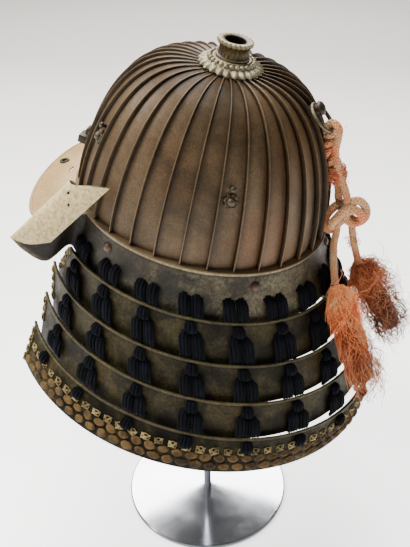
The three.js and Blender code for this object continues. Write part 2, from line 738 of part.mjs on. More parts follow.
// A tassel: locks of silk spreading from a round head. One row for each section.
function tassel(line, rows) {
  const path = new THREE.CatmullRomCurve3(line.map((p) => vec(...p)), false, 'centripetal');
  const sides = 16;
  const outline = Array.from({ length: sides }, (_, i) =>
    [Math.cos(i * 2 * Math.PI / sides), Math.sin(i * 2 * Math.PI / sides)]);
  const across = vec(1, 0, 0);
  const sections = rows.map((row) => {
    const centre = path.getPoint(row.along);
    const forward = path.getTangent(row.along);
    const deep = forward.clone().cross(across).normalize();
    const wide = deep.clone().cross(forward).normalize();
    return outline.map(([c, s], i) => {
      const radius = row.radius * (i % 2 ? 1 - row.lock : 1);
      return centre.clone().addScaledVector(wide, radius * c).addScaledVector(deep, radius * s);
    });
  });
  return loft(sections, outline);
}
add(hung, 'front_tassel', tassel(
  [[30.5, 134.9, -61], [40, 142, -75], [53, 153.5, -99], [59, 165, -124], [62, 174, -148]],
  [
    { along: 0, radius: 4, lock: 0 }, { along: 0.06, radius: 8, lock: 0 },
    { along: 0.16, radius: 9, lock: 0.05 }, { along: 0.36, radius: 16, lock: 0.12 },
    { along: 0.6, radius: 18, lock: 0.18 }, { along: 0.82, radius: 16, lock: 0.22 },
    { along: 1, radius: 11, lock: 0.3 },
  ],
), frontSilk);
add(hung, 'rear_tassel', tassel(
  [[-2.5, 151.9, -55.2], [-3, 157, -68], [-5, 170, -90], [-7, 183, -112], [-8, 192, -130]],
  [
    { along: 0, radius: 4, lock: 0 }, { along: 0.07, radius: 9, lock: 0 },
    { along: 0.18, radius: 11, lock: 0.05 }, { along: 0.4, radius: 20, lock: 0.12 },
    { along: 0.62, radius: 23, lock: 0.18 }, { along: 0.84, radius: 20, lock: 0.22 },
    { along: 1, radius: 13, lock: 0.3 },
  ],
), rearSilk);

export default part;
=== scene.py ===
import math

import bpy
import numpy as np
from mathutils import Matrix, Vector


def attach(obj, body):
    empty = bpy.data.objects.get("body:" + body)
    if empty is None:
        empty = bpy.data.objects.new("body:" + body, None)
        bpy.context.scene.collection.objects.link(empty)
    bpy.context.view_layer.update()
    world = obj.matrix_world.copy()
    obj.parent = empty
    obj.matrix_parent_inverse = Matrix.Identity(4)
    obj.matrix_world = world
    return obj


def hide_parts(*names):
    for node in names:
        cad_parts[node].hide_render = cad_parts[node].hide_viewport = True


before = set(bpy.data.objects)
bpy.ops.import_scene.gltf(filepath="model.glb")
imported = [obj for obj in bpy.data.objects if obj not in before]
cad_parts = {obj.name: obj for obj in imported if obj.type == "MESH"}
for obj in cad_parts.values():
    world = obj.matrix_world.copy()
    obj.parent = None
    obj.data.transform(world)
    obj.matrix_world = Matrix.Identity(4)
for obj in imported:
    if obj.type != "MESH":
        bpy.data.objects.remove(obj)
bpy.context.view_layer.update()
quarterTurn = math.pi / 2
fullTurn = 2 * math.pi
print("frame loaded")

# Places are worked out in millimetres about the centre of the bowl's lip.
stance = {"leanBack": math.radians(12.3), "lip": (0.0, 3.5, 407.0)}
mirrors = (np.array([1, 1, 1]), np.array([-1, 1, 1]))


def leant(v):      # places or directions of the helmet, turned back as it stands
    v = np.asarray(v, float)
    along, up = math.cos(stance["leanBack"]), math.sin(stance["leanBack"])
    return np.stack([v[..., 0], v[..., 1] * along + v[..., 2] * up,
                     v[..., 2] * along - v[..., 1] * up], axis=-1)


def plumb(points):      # the cords hang plumb, in metres in the row's frame
    return (np.asarray(points, float) + np.array(stance["lip"])) * 0.001


def toRow(points):
    return plumb(leant(points))


def rowDirection(v):
    return Vector(leant(v))


def ringTurns(count):
    return np.linspace(0, fullTurn, count, endpoint=False)


def lerp(a, b, t):
    return a + (b - a) * t


def unit(v):
    return v / np.maximum(np.linalg.norm(v, axis=-1, keepdims=True), 1e-9)


def smoothStep(x, low, high):
    t = np.clip((x - low) / (high - low), 0, 1)
    return t * t * (3 - 2 * t)


def splineAt(points, shares):      # a smooth line through the points, shares from 0 to 1
    pts = np.asarray(points, float)
    last = len(pts) - 1
    out = []
    for share in np.atleast_1d(shares):
        place = min(max(share, 0), 1) * last
        k = min(int(place), last - 1)
        w = place - k
        p1, p2 = pts[k], pts[k + 1]
        p0 = pts[k - 1] if k else 2 * p1 - p2
        p3 = pts[k + 2] if k + 2 <= last else 2 * p2 - p1
        d0, d1, d2 = (math.sqrt(max(np.linalg.norm(b - a), 1e-6))
                      for a, b in ((p0, p1), (p1, p2), (p2, p3)))
        m1 = ((p1 - p0) / d0 - (p2 - p0) / (d0 + d1) + (p2 - p1) / d1) * d1
        m2 = ((p2 - p1) / d1 - (p3 - p1) / (d1 + d2) + (p3 - p2) / d2) * d1
        out.append(p1 + m1 * w + (3 * (p2 - p1) - 2 * m1 - m2) * w * w
                   + (2 * (p1 - p2) + m1 + m2) * w ** 3)
    return np.array(out)


def alone():
    if bpy.context.mode != "OBJECT":
        bpy.ops.object.mode_set(mode="OBJECT")
    bpy.ops.object.select_all(action="DESELECT")


def pick(piece):
    alone()
    piece.select_set(True)
    bpy.context.view_layer.objects.active = piece


def loftPiece(name, rows, wearAndShade=None, weave=None, angle=40, endless=False):
    # rows: one row of section points for each station along the piece, in metres
    def closed(values):
        values = np.asarray(values, float)
        values = np.concatenate([values, values[:, :1]], axis=1)
        return np.concatenate([values, values[:1]], axis=0) if endless else values

    rows = closed(rows)
    stations, across = rows.shape[:2]
    alone()
    bpy.ops.mesh.primitive_grid_add(x_subdivisions=across - 1, y_subdivisions=stations - 1, size=1)
    piece = bpy.context.object
    piece.name = piece.data.name = name
    piece.data.vertices.foreach_set("co", rows.reshape(-1))
    for key, values in (("wearAndShade", wearAndShade), ("weave", weave)):
        if values is not None:
            values = closed(values)
            kind, field = ("FLOAT", "value") if values.ndim == 2 else ("FLOAT_VECTOR", "vector")
            layer = piece.data.attributes.new(key, kind, "POINT")
            layer.data.foreach_set(field, values.reshape(-1))
    bpy.ops.object.mode_set(mode="EDIT")
    bpy.ops.mesh.select_all(action="SELECT")
    bpy.ops.mesh.remove_doubles(threshold=2e-6)
    if not endless:
        bpy.ops.mesh.fill_holes(sides=0)
        bpy.ops.mesh.select_all(action="SELECT")
    bpy.ops.mesh.normals_make_consistent(inside=False)
    finishEdit(piece, angle)
    return piece


def turned(name, profile, sides, angle, shape=None, endless=False):
    # profile: pairs of radius and height; shape gives the two half widths round the turn
    turn = ringTurns(sides)
    rows = []
    for radius, height in profile:
        wide, deep = shape(turn, radius, height) if shape else (radius, radius)
        rows.append(np.stack([wide * np.cos(turn), deep * np.sin(turn), np.full(sides, height)], axis=-1))
    return loftPiece(name, np.array(rows) * 0.001, angle=angle, endless=endless)


def finishEdit(piece, angle):
    pick(piece)
    bpy.ops.object.shade_smooth_by_angle(angle=math.radians(angle))


def joinPieces(name, pieces):
    pick(pieces[0])
    for piece in pieces:
        piece.select_set(True)
    if len(pieces) > 1:
        bpy.ops.object.join()
    joined = bpy.context.object
    joined.name = joined.data.name = name
    return joined


def settle(piece):      # puts a piece's place in its mesh
    pick(piece)
    bpy.ops.object.transform_apply(location=True, rotation=True, scale=True)


def applyAll(piece):
    pick(piece)
    for modifier in list(piece.modifiers):
        bpy.ops.object.modifier_apply(modifier=modifier.name)


def cutWith(piece, cutter):
    pick(piece)
    modifier = piece.modifiers.new("cut", "BOOLEAN")
    modifier.object = cutter
    modifier.operation = "DIFFERENCE"
    modifier.solver = "EXACT"
    applyAll(piece)


def basis(origin, along, outward):      # a matrix with X along and Z outward, origin in metres
    z = Vector(outward).normalized()
    x = Vector(along)
    x = (x - z * x.dot(z)).normalized()
    y = z.cross(x)
    return Matrix(((x.x, y.x, z.x, origin[0]), (x.y, y.y, z.y, origin[1]),
                   (x.z, y.z, z.z, origin[2]), (0, 0, 0, 1)))


def seat(spot, along, outward):      # sets a model on the helmet, by the helmet's own directions
    return basis(toRow(spot), rowDirection(along), rowDirection(outward))


def copies(name, model, matrices, chance):      # repeats a model, each copy a little uneven
    made = []
    for matrix in matrices:
        twin = model.copy()
        twin.data = model.data.copy()
        size = chance.uniform(0.86, 1.08, 3)
        twin.data.transform(Matrix.Rotation(chance.normal() * 0.16, 4, "Z")
                            @ Matrix.Diagonal((*size, 1)))
        twin.data.transform(matrix)
        bpy.context.scene.collection.objects.link(twin)
        made.append(twin)
    bpy.data.objects.remove(model)
    return joinPieces(name, made)


def strands(name, paths, radius, sides, taper=(1, 1), shade=None):      # many threads as one mesh
    curve = bpy.data.curves.new(name, "CURVE")
    curve.dimensions = "3D"
    curve.bevel_depth = radius * 0.001
    curve.bevel_resolution = sides
    curve.use_fill_caps = shade is None
    for path in paths:
        count = len(path)
        spline = curve.splines.new("POLY")
        spline.points.add(count - 1)
        flat = np.concatenate([path, np.ones((count, 1))], axis=1)
        spline.points.foreach_set("co", flat.reshape(-1))
        spline.points.foreach_set("radius", np.linspace(*taper, count))
    piece = bpy.data.objects.new(name, curve)
    bpy.context.scene.collection.objects.link(piece)
    pick(piece)
    bpy.ops.object.convert(target="MESH")
    piece = bpy.context.object
    if shade is not None:      # the mesh has the same number of vertices round each point
        values = np.repeat(shade.reshape(-1), len(piece.data.vertices) // shade.size)
        piece.data.attributes.new("wearAndShade", "FLOAT", "POINT").data.foreach_set("value", values)
        bpy.ops.object.mode_set(mode="EDIT")
        bpy.ops.mesh.select_all(action="SELECT")
        bpy.ops.mesh.fill_holes(sides=0)
    finishEdit(piece, 80)
    return piece


def dress(piece, material, slot, *nodes):
    piece.data.materials.clear()
    piece.data.materials.append(material)
    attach(piece, "root")
    if nodes:
        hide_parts(*nodes)
    return piece


def tone(r, g, b):
    return tuple((v / 255) ** 2.2 for v in (r, g, b)) + (1.0,)


def addNode(tree, kind, inputs=None, **settings):
    made = tree.nodes.new(kind)
    for key, value in settings.items():
        setattr(made, key, value)
    for key, value in (inputs or {}).items():
        if isinstance(value, bpy.types.NodeSocket):
            tree.links.new(value, made.inputs[key])
        else:
            made.inputs[key].default_value = value
    return made


def mathNode(tree, operation, a, b=0.0):
    return addNode(tree, "ShaderNodeMath", {0: a, 1: b}, operation=operation).outputs[0]


def toneStops(stops):
    return [(place, tone(*colour)) for place, *colour in stops]


def rampNode(tree, value, stops):      # stops: a place, and a grey or a colour
    ramp = addNode(tree, "ShaderNodeValToRGB", {"Fac": value})
    elements = ramp.color_ramp.elements
    while len(elements) < len(stops):
        elements.new(0.5)
    for element, (place, colour) in zip(elements, stops):
        element.position = place
        element.color = colour if isinstance(colour, tuple) else (colour, colour, colour, 1)
    return ramp.outputs["Color"]


def rangeNode(tree, value, low, high, start, end):
    return addNode(tree, "ShaderNodeMapRange", {
        "Value": value, 1: low, 2: high, 3: start, 4: end}).outputs[0]


def mixNode(tree, factor, a, b, blend="MIX"):
    made = addNode(tree, "ShaderNodeMix", data_type="RGBA", blend_type=blend)
    for socket, value in ((made.inputs[0], factor), (made.inputs[6], a), (made.inputs[7], b)):
        if isinstance(value, bpy.types.NodeSocket):
            tree.links.new(value, socket)
        else:
            socket.default_value = value
    return made.outputs[2]


def noiseNode(tree, place, scale, detail, roughness, distortion=0.0):
    return addNode(tree, "ShaderNodeTexNoise", {
        "Vector": place, "Scale": scale, "Detail": detail, "Roughness": roughness,
        "Distortion": distortion}).outputs["Fac"]


def attributeNode(tree, name, output="Fac"):
    return addNode(tree, "ShaderNodeAttribute", attribute_name=name).outputs[output]


def newMaterial(name, metallic, shine=0.5, roughness=0.5):
    material = bpy.data.materials.new(name)
    material.use_nodes = True
    tree = material.node_tree
    shader = tree.nodes["Principled BSDF"]
    shader.inputs["Metallic"].default_value = metallic
    shader.inputs["Roughness"].default_value = roughness
    shader.inputs["Specular IOR Level"].default_value = shine
    return material, tree, shader, addNode(tree, "ShaderNodeTexCoord").outputs["Object"]


def setSurface(tree, shader, colour, height, strength):
    tree.links.new(colour, shader.inputs["Base Color"])
    bump = addNode(tree, "ShaderNodeBump", {"Strength": strength, "Distance": 0.0006, "Height": height})
    tree.links.new(bump.outputs[0], shader.inputs["Normal"])


def agedMetal(name, look):
    material, tree, shader, place = newMaterial(name, look["metallic"], look.get("shine", 0.5))
    patches = noiseNode(tree, place, look["patchScale"], 7.0, 0.62, 0.35)
    colour = rampNode(tree, patches, toneStops(look["tones"]))
    stain = noiseNode(tree, place, look["stainScale"], 5.0, 0.55)
    stained = rampNode(tree, stain, [(0.5, 0), (0.66, 1)])
    colour = mixNode(tree, mathNode(tree, "MULTIPLY", stained, look["stainShare"]), colour,
                     tone(*look["stain"]))
    specks = noiseNode(tree, place, look["speckScale"], 6.0, 0.75)
    grain = rampNode(tree, specks, [(0.36, (0.08, 0.07, 0.06, 1)), (0.52, 0.5), (0.7, (1, 0.98, 0.9, 1))])
    colour = mixNode(tree, look["speckShare"], colour, grain, "OVERLAY")
    wearAndShade = attributeNode(tree, "wearAndShade")
    toneShift = mathNode(tree, "MULTIPLY", wearAndShade, rampNode(tree, specks, [(0.38, 0.45), (0.6, 1)]))
    toneShift = addNode(tree, "ShaderNodeClamp", {"Value": toneShift}).outputs[0]
    colour = mixNode(tree, toneShift, colour, tone(*look["edge"]))
    # painted shade: negative attribute values darken towards the shade tone under and inside parts;
    # positive values are rubbed wear towards the edge tone
    shadeMask = mathNode(tree, "MULTIPLY", wearAndShade, -1.0)
    shadeMask = addNode(tree, "ShaderNodeClamp", {"Value": shadeMask}).outputs[0]
    colour = mixNode(tree, shadeMask, colour, tone(*look["shade"]))
    cloud = noiseNode(tree, place, look["patchScale"] * 3, 6.0, 0.7)
    tree.links.new(rangeNode(tree, cloud, 0.3, 0.7, *look["gloss"]), shader.inputs["Roughness"])
    relief = mathNode(tree, "ADD", specks, mathNode(tree, "MULTIPLY", stain, 2.0))
    setSurface(tree, shader, colour, relief, look["pitting"])
    return material


def silk(name, look):      # braided cord or loose thread
    material, tree, shader, place = newMaterial(name, 0.0, look.get("shine", 0.3), look["roughness"])
    shader.inputs["Sheen Weight"].default_value = look["sheen"]
    shader.inputs["Sheen Roughness"].default_value = 0.4
    fade = noiseNode(tree, place, look["fadeScale"], 4.0, 0.6)
    colour = rampNode(tree, fade, toneStops(look["tones"]))
    fibre = noiseNode(tree, place, look["fibreScale"], 3.0, 0.7)
    grain = rampNode(tree, fibre, [(0.3, 0.12), (0.55, 0.5), (0.75, 0.95)])
    colour = mixNode(tree, look["fibreShare"], colour, grain, "OVERLAY")
    height = fibre
    if look.get("braid"):
        weave = attributeNode(tree, "weave", "Vector")
        parts = addNode(tree, "ShaderNodeSeparateXYZ", {0: weave}).outputs
        turn = mathNode(tree, "MULTIPLY", mathNode(tree, "ARCTAN2", parts[1], parts[0]),
                        look["braid"]["strands"])
        climb = mathNode(tree, "MULTIPLY", parts[2], look["braid"]["pitch"])
        ways = [mathNode(tree, "SINE", mathNode(tree, way, turn, climb))
                for way in ("ADD", "SUBTRACT")]
        braid = mathNode(tree, "MAXIMUM", *ways)
        height = mathNode(tree, "ADD", braid, mathNode(tree, "MULTIPLY", fibre, 0.6))
        # painted shade in the braid's grooves between its strands
        colour = mixNode(tree, rampNode(tree, braid, [(0.0, 0.55), (0.45, 0)]), colour,
                         tone(*look["groove"]))
    if look.get("deep"):      # painted shade on threads deep inside the bundle and on its core; threads are also darker at random and towards the bundle's end
        colour = mixNode(tree, attributeNode(tree, "wearAndShade"), colour, tone(*look["deep"]))
    setSurface(tree, shader, colour, height, look["relief"])
    return material


bowlIron = agedMetal("russetIron", {
    "metallic": 0.22, "shine": 0.22, "patchScale": 11, "stainScale": 17, "stainShare": 0.4,
    "speckScale": 700, "speckShare": 0.4, "gloss": (0.38, 0.56), "pitting": 0.3,
    "tones": [(0.28, 42, 33, 22), (0.45, 70, 57, 40), (0.58, 92, 75, 55), (0.75, 66, 50, 34)],
    "stain": (98, 64, 40), "edge": (106, 92, 66), "shade": (6, 4, 2)})
plateLook = {
    "metallic": 0.0, "shine": 0.08, "patchScale": 26, "stainScale": 13, "stainShare": 0.5,
    "speckScale": 330, "speckShare": 0.7, "gloss": (0.36, 0.6), "pitting": 0.7,
    "tones": [(0.3, 11, 9, 5), (0.45, 34, 30, 18), (0.6, 60, 54, 34), (0.74, 36, 28, 17)],
    "stain": (58, 45, 27), "edge": (104, 95, 72), "shade": (6, 5, 4)}
plateIron = agedMetal("wornLacquer", plateLook)
firstPlateIron = agedMetal("scuffedLacquer", {
    **plateLook, "shine": 0.18, "speckShare": 0.8, "patchScale": 20,
    "tones": [(0.3, 14, 12, 8), (0.43, 42, 38, 27), (0.58, 96, 89, 68), (0.72, 40, 33, 22)],
    "stain": (76, 58, 36), "edge": (214, 190, 140)})
brimIron = agedMetal("paleIron", {
    "metallic": 0.15, "patchScale": 17, "stainScale": 24, "stainShare": 0.55, "speckScale": 380,
    "speckShare": 0.3, "gloss": (0.38, 0.6), "pitting": 0.4,
    "tones": [(0.28, 132, 102, 60), (0.46, 157, 128, 78), (0.62, 168, 140, 88), (0.8, 141, 106, 62)],
    "stain": (152, 106, 64), "edge": (146, 128, 98), "shade": (24, 18, 12)})
fittingLook = {
    "metallic": 0.6, "patchScale": 60, "stainScale": 90, "stainShare": 0.4, "speckScale": 700,
    "speckShare": 0.45, "gloss": (0.32, 0.55), "pitting": 0.5,
    "tones": [(0.3, 34, 30, 23), (0.5, 58, 52, 40), (0.65, 80, 72, 56), (0.8, 52, 43, 32)],
    "stain": (84, 60, 42), "edge": (138, 126, 100), "shade": (24, 20, 16)}
darkIron = agedMetal("darkIron", fittingLook)
domeIron = agedMetal("reddishIron", {
    **fittingLook, "metallic": 0.3, "stainShare": 0.5, "speckScale": 600, "speckShare": 0.6,
    "gloss": (0.36, 0.6),
    "tones": [(0.3, 38, 28, 20), (0.5, 66, 46, 33), (0.65, 84, 60, 44), (0.8, 56, 40, 29)],
    "stain": (90, 58, 40), "edge": (120, 96, 72)})
crownLook = {
    "metallic": 0.5, "patchScale": 45, "stainScale": 80, "stainShare": 0.35, "speckScale": 800,
    "speckShare": 0.4, "gloss": (0.34, 0.55), "pitting": 0.3,
    "tones": [(0.3, 88, 80, 60), (0.48, 130, 119, 94), (0.64, 161, 151, 123), (0.8, 108, 95, 72)],
    "stain": (88, 74, 50), "edge": (170, 160, 130), "shade": (20, 16, 10)}
crownMetal = agedMetal("crownMetal", crownLook)
tubeMetal = agedMetal("tubeMetal", {
    **crownLook, "patchScale": 50, "stainShare": 0.4, "gloss": (0.34, 0.52), "pitting": 0.35,
    "tones": [(0.3, 34, 24, 13), (0.5, 58, 46, 25), (0.66, 87, 71, 41), (0.8, 49, 38, 21)],
    "stain": (80, 60, 38), "edge": (158, 146, 112), "shade": (12, 10, 7)})
lacingSilk = silk("blueBlackLacing", {
    "roughness": 0.9, "sheen": 0.0, "shine": 0.12, "fadeScale": 90, "fibreScale": 900,
    "fibreShare": 0.5, "relief": 0.9,
    "tones": [(0.35, 4, 6, 10), (0.6, 10, 13, 21), (0.8, 22, 26, 36)]})
cordSilk = silk("fadedCord", {
    "roughness": 0.82, "sheen": 0.35, "fadeScale": 42, "fibreScale": 1100, "fibreShare": 0.35,
    "relief": 0.8, "braid": {"strands": 6.0, "pitch": 2.1}, "groove": (166, 92, 56),
    "tones": [(0.34, 222, 124, 78), (0.45, 206, 146, 98), (0.58, 210, 168, 120), (0.72, 218, 182, 138)]})
whippingSilk = silk("whippingThread", {
    "roughness": 0.9, "sheen": 0.5, "fadeScale": 120, "fibreScale": 1300, "fibreShare": 0.4,
    "relief": 0.6, "tones": [(0.3, 186, 74, 41), (0.5, 203, 109, 67), (0.7, 206, 141, 91)]})
tasselLook = {
    "roughness": 0.88, "sheen": 0.3, "deep": (84, 34, 20), "fadeScale": 38, "fibreScale": 700,
    "fibreShare": 0.4, "relief": 0.4,
    "tones": [(0.32, 204, 100, 52), (0.45, 247, 140, 77), (0.58, 255, 176, 110), (0.74, 253, 204, 145)]}
frontSilk = silk("orangeTassel", tasselLook)
rearSilk = silk("redBrownTassel", {
    **tasselLook, "deep": (62, 26, 20),
    "tones": [(0.32, 119, 54, 31), (0.46, 175, 93, 52), (0.6, 198, 125, 77), (0.76, 201, 152, 107)]})
goldThread = silk("goldThread", {
    "roughness": 0.7, "sheen": 0.0, "fadeScale": 60, "fibreScale": 1200, "fibreShare": 0.5,
    "relief": 0.7,
    "tones": [(0.34, 42, 29, 12), (0.47, 76, 57, 28), (0.6, 104, 80, 42), (0.75, 66, 44, 25)]})
paleThread = silk("paleGoldThread", {
    "roughness": 0.6, "sheen": 0.2, "fadeScale": 80, "fibreScale": 1200, "fibreShare": 0.5,
    "relief": 0.7, "tones": [(0.34, 58, 46, 21), (0.48, 111, 94, 51), (0.64, 152, 134, 86)]})


def polishedSteel():      # the disc's upright edge and rim line are darker, a painted dark reflection
    material, tree, shader, place = newMaterial("polishedSteel", 0.97)
    smudge = noiseNode(tree, place, 14.0, 5.0, 0.6)
    colour = rampNode(tree, smudge, toneStops([(0.35, 196, 200, 210), (0.65, 218, 220, 226)]))
    parts = addNode(tree, "ShaderNodeSeparateXYZ", {0: place}).outputs
    flat = addNode(tree, "ShaderNodeCombineXYZ", {0: parts[0], 1: parts[1], 2: 0.0}).outputs[0]
    reach = addNode(tree, "ShaderNodeVectorMath", {0: flat}, operation="LENGTH").outputs["Value"]
    # painted dark reflection on the disc's upright edge and rim line
    rim = mathNode(tree, "GREATER_THAN", reach, 0.0936)
    colour = mixNode(tree, mathNode(tree, "MULTIPLY", rim, 0.85), colour, tone(40, 42, 46))
    tree.links.new(colour, shader.inputs["Base Color"])
    tree.links.new(rangeNode(tree, smudge, 0.35, 0.75, 0.1, 0.18), shader.inputs["Roughness"])
    return material


steel = polishedSteel()
print("materials made")

# The camera is placed by its height above the floor, its turn about the helmet and its roll.
camera = {"place": (0.6336, 0.1923, 0.7655), "azimuth": 16.6, "down": 34.12, "roll": -1.442,
          "lens": 51.65, "film": 36.0}


def setCamera():
    azimuth, down, roll = (math.radians(camera[k]) for k in ("azimuth", "down", "roll"))
    forward = Vector((-math.cos(azimuth) * math.cos(down), -math.sin(azimuth) * math.cos(down),
                      -math.sin(down)))
    right = forward.cross(Vector((0, 0, 1))).normalized()
    up = right.cross(forward)
    side = right * math.cos(roll) + up * math.sin(roll)
    data = bpy.data.cameras.new("camera")
    data.lens = camera["lens"]
    data.sensor_width = camera["film"]
    data.clip_start = 0.01
    seer = bpy.data.objects.new("camera", data)
    turn = Matrix((side, side.cross(forward), -forward)).transposed()
    seer.matrix_world = Matrix.Translation(camera["place"]) @ turn.to_4x4()
    bpy.context.scene.collection.objects.link(seer)
    bpy.context.scene.camera = seer


setCamera()

# The tied cord: three lengths, a bow and two tassels, hanging plumb from the back ring.
cordLook = {"radius": 3.42, "sides": 16, "step": 1.6}
cordRoutes = {
    "cordLoop": [
        (-4, 127, 13.4), (-4, 126.8, 18), (-4.5, 124.5, 30), (-4.5, 121.5, 44), (-3.5, 117, 60),
        (-1.2, 112.8, 74.6), (0, 113.2, 82.5), (1.2, 118.5, 86.2), (2.6, 123.4, 82),
        (3.6, 123.6, 74), (4, 122.2, 64), (4, 123, 54), (4, 126.5, 42), (4, 131.5, 30),
        (4, 135.6, 18), (4, 136, 13.4)],
    "cordFront": [(6, 129, -13.4), (6.2, 129, -18), (10, 128, -30), (19, 130, -44),
                  (28, 133.5, -57), (30, 134.5, -60)],
    "cordRear": [(-3, 142, -13.4), (-3, 142.3, -18), (-3, 145, -32), (-2.5, 149, -46),
                 (-2.5, 151.5, -54)]}


def tubeRows(path, radius, sides):
    forward = unit(np.gradient(path, axis=0))
    side = np.zeros_like(path)
    seed = np.array([1.0, 0.0, 0.0]) if abs(forward[0][0]) < 0.8 else np.array([0.0, 1.0, 0.0])
    for k, f in enumerate(forward):      # carried along without twisting
        seed = unit(seed - f * np.dot(seed, f))
        side[k] = seed
    other = np.cross(forward, side)
    turn = ringTurns(sides)[None, :, None]
    radius = np.broadcast_to(np.asarray(radius, float), (len(path),))[:, None, None]
    return path[:, None] + radius * (np.cos(turn) * side[:, None] + np.sin(turn) * other[:, None])


def alongPath(path):      # the distance to each point
    return np.concatenate([[0], np.cumsum(np.linalg.norm(np.diff(path, axis=0), axis=1))])


def cordSkin(name, path, radius, endless=False):
    wide, far = np.meshgrid(ringTurns(cordLook["sides"]), alongPath(path))
    weave = np.stack([np.cos(wide), np.sin(wide), far], axis=-1)
    rows = tubeRows(path, radius, cordLook["sides"])
    return loftPiece(name, plumb(rows), weave=weave, angle=80, endless=endless)


def cordPiece(name, route, radius):
    steps = int(alongPath(np.array(route, float))[-1] / cordLook["step"]) + 2
    path = splineAt(route, np.linspace(0, 1, steps))
    return cordSkin(name, path, radius), path


cordPieces, cordPaths = {}, {}
for name, route in cordRoutes.items():
    cordPieces[name], cordPaths[name] = cordPiece(name, route, cordLook["radius"])

knot = {"wire": 3.9, "steps": 40, "stubWire": 3.54, "turns": {      # each closed turn of the bow
    "leftBight": [(2, 127.5, 8), (3.5, 119.5, -1.5), (4, 117.4, -10.5), (3.5, 121.5, -18),
                  (0, 128.5, -13.5), (-3, 131.5, -4), (-1, 131, 5)],
    "crossing": [(5, 140.5, 8.5), (10, 134.5, 7), (11.5, 127.5, -2), (9, 123.8, -9.5),
                 (4, 126, -13.5), (0, 132, -9), (-1, 138, -1), (1, 142, 5)],
    "rightBight": [(3, 139, 12.5), (1, 146.5, 14), (0, 153, 7), (1.5, 153.2, -1.5),
                   (4, 147, -6.5), (6, 139.5, -5.5), (6, 135.5, 1), (5, 135, 8)],
    "innerBight": [(8, 137, 5.5), (7, 143.5, 7.5), (5.5, 148.2, 4.5), (4, 150.5, -1.5),
                   (2, 146, -6.5), (0, 139, -4), (2, 134.5, -1), (6, 134, 2.5)]},
    "stubs": [[(-4, 126.9, 16.4), (-4, 127, 13.4), (-3, 129, 8), (-1, 132, 3)],
              [(4, 135.9, 16.4), (4, 136, 13.4), (3.5, 136.5, 7), (2, 136, 2)],
              [(6.1, 129, -16.4), (6, 129, -13.4), (5.5, 129.5, -9), (3, 132, -4)],
              [(-3, 142.2, -16.4), (-3, 142, -13.4), (-2, 141, -8), (0, 138, -3)]]}


def knotTurns():      # two bights, the turns that cross them, and the cord's ends running in
    turns = []
    for key, places in knot["turns"].items():
        ends = places[-2:] + places + places[:3]
        count = len(ends) - 1
        shares = np.linspace(2 / count, (count - 2) / count, knot["steps"] + 1)[:-1]
        turns.append(cordSkin(key, splineAt(ends, shares), knot["wire"], True))
    for k, places in enumerate(knot["stubs"]):
        turns.append(cordPiece(f"stub{k}", places, knot["stubWire"])[0])
    return joinPieces("bowKnot", turns)


tassels = {
    "frontTassel": {
        "line": [(30.5, 134.9, -61), (40, 142, -75), (53, 153.5, -99), (59, 165, -124),
                 (62, 174, -148)],
        "profile": [(0, 7), (0.05, 11), (0.12, 14.5), (0.22, 15.5), (0.4, 15), (0.62, 17.5),
                    (0.85, 18), (1, 13)],
        "threads": 1280, "seed": 11, "comb": 1.0, "curl": 0.2},
    "rearTassel": {
        "line": [(-2.5, 151.9, -55.2), (-3, 157, -68), (-5, 170, -90), (-7, 183, -112),
                 (-8, 192, -130)],
        "profile": [(0, 8), (0.05, 13), (0.12, 18), (0.25, 21), (0.45, 23), (0.65, 22), (0.85, 19),
                    (1, 13)],
        "threads": 1280, "seed": 23, "comb": 0.75, "curl": 0.27}}
thread = {"steps": 14, "thick": 0.24, "atHead": 0.32, "headEnd": 0.06, "lastStart": 0.86,
          "pace": (1.3, 3.1), "wild": 0.13, "hold": (0.12, 0.8), "press": 0.55}


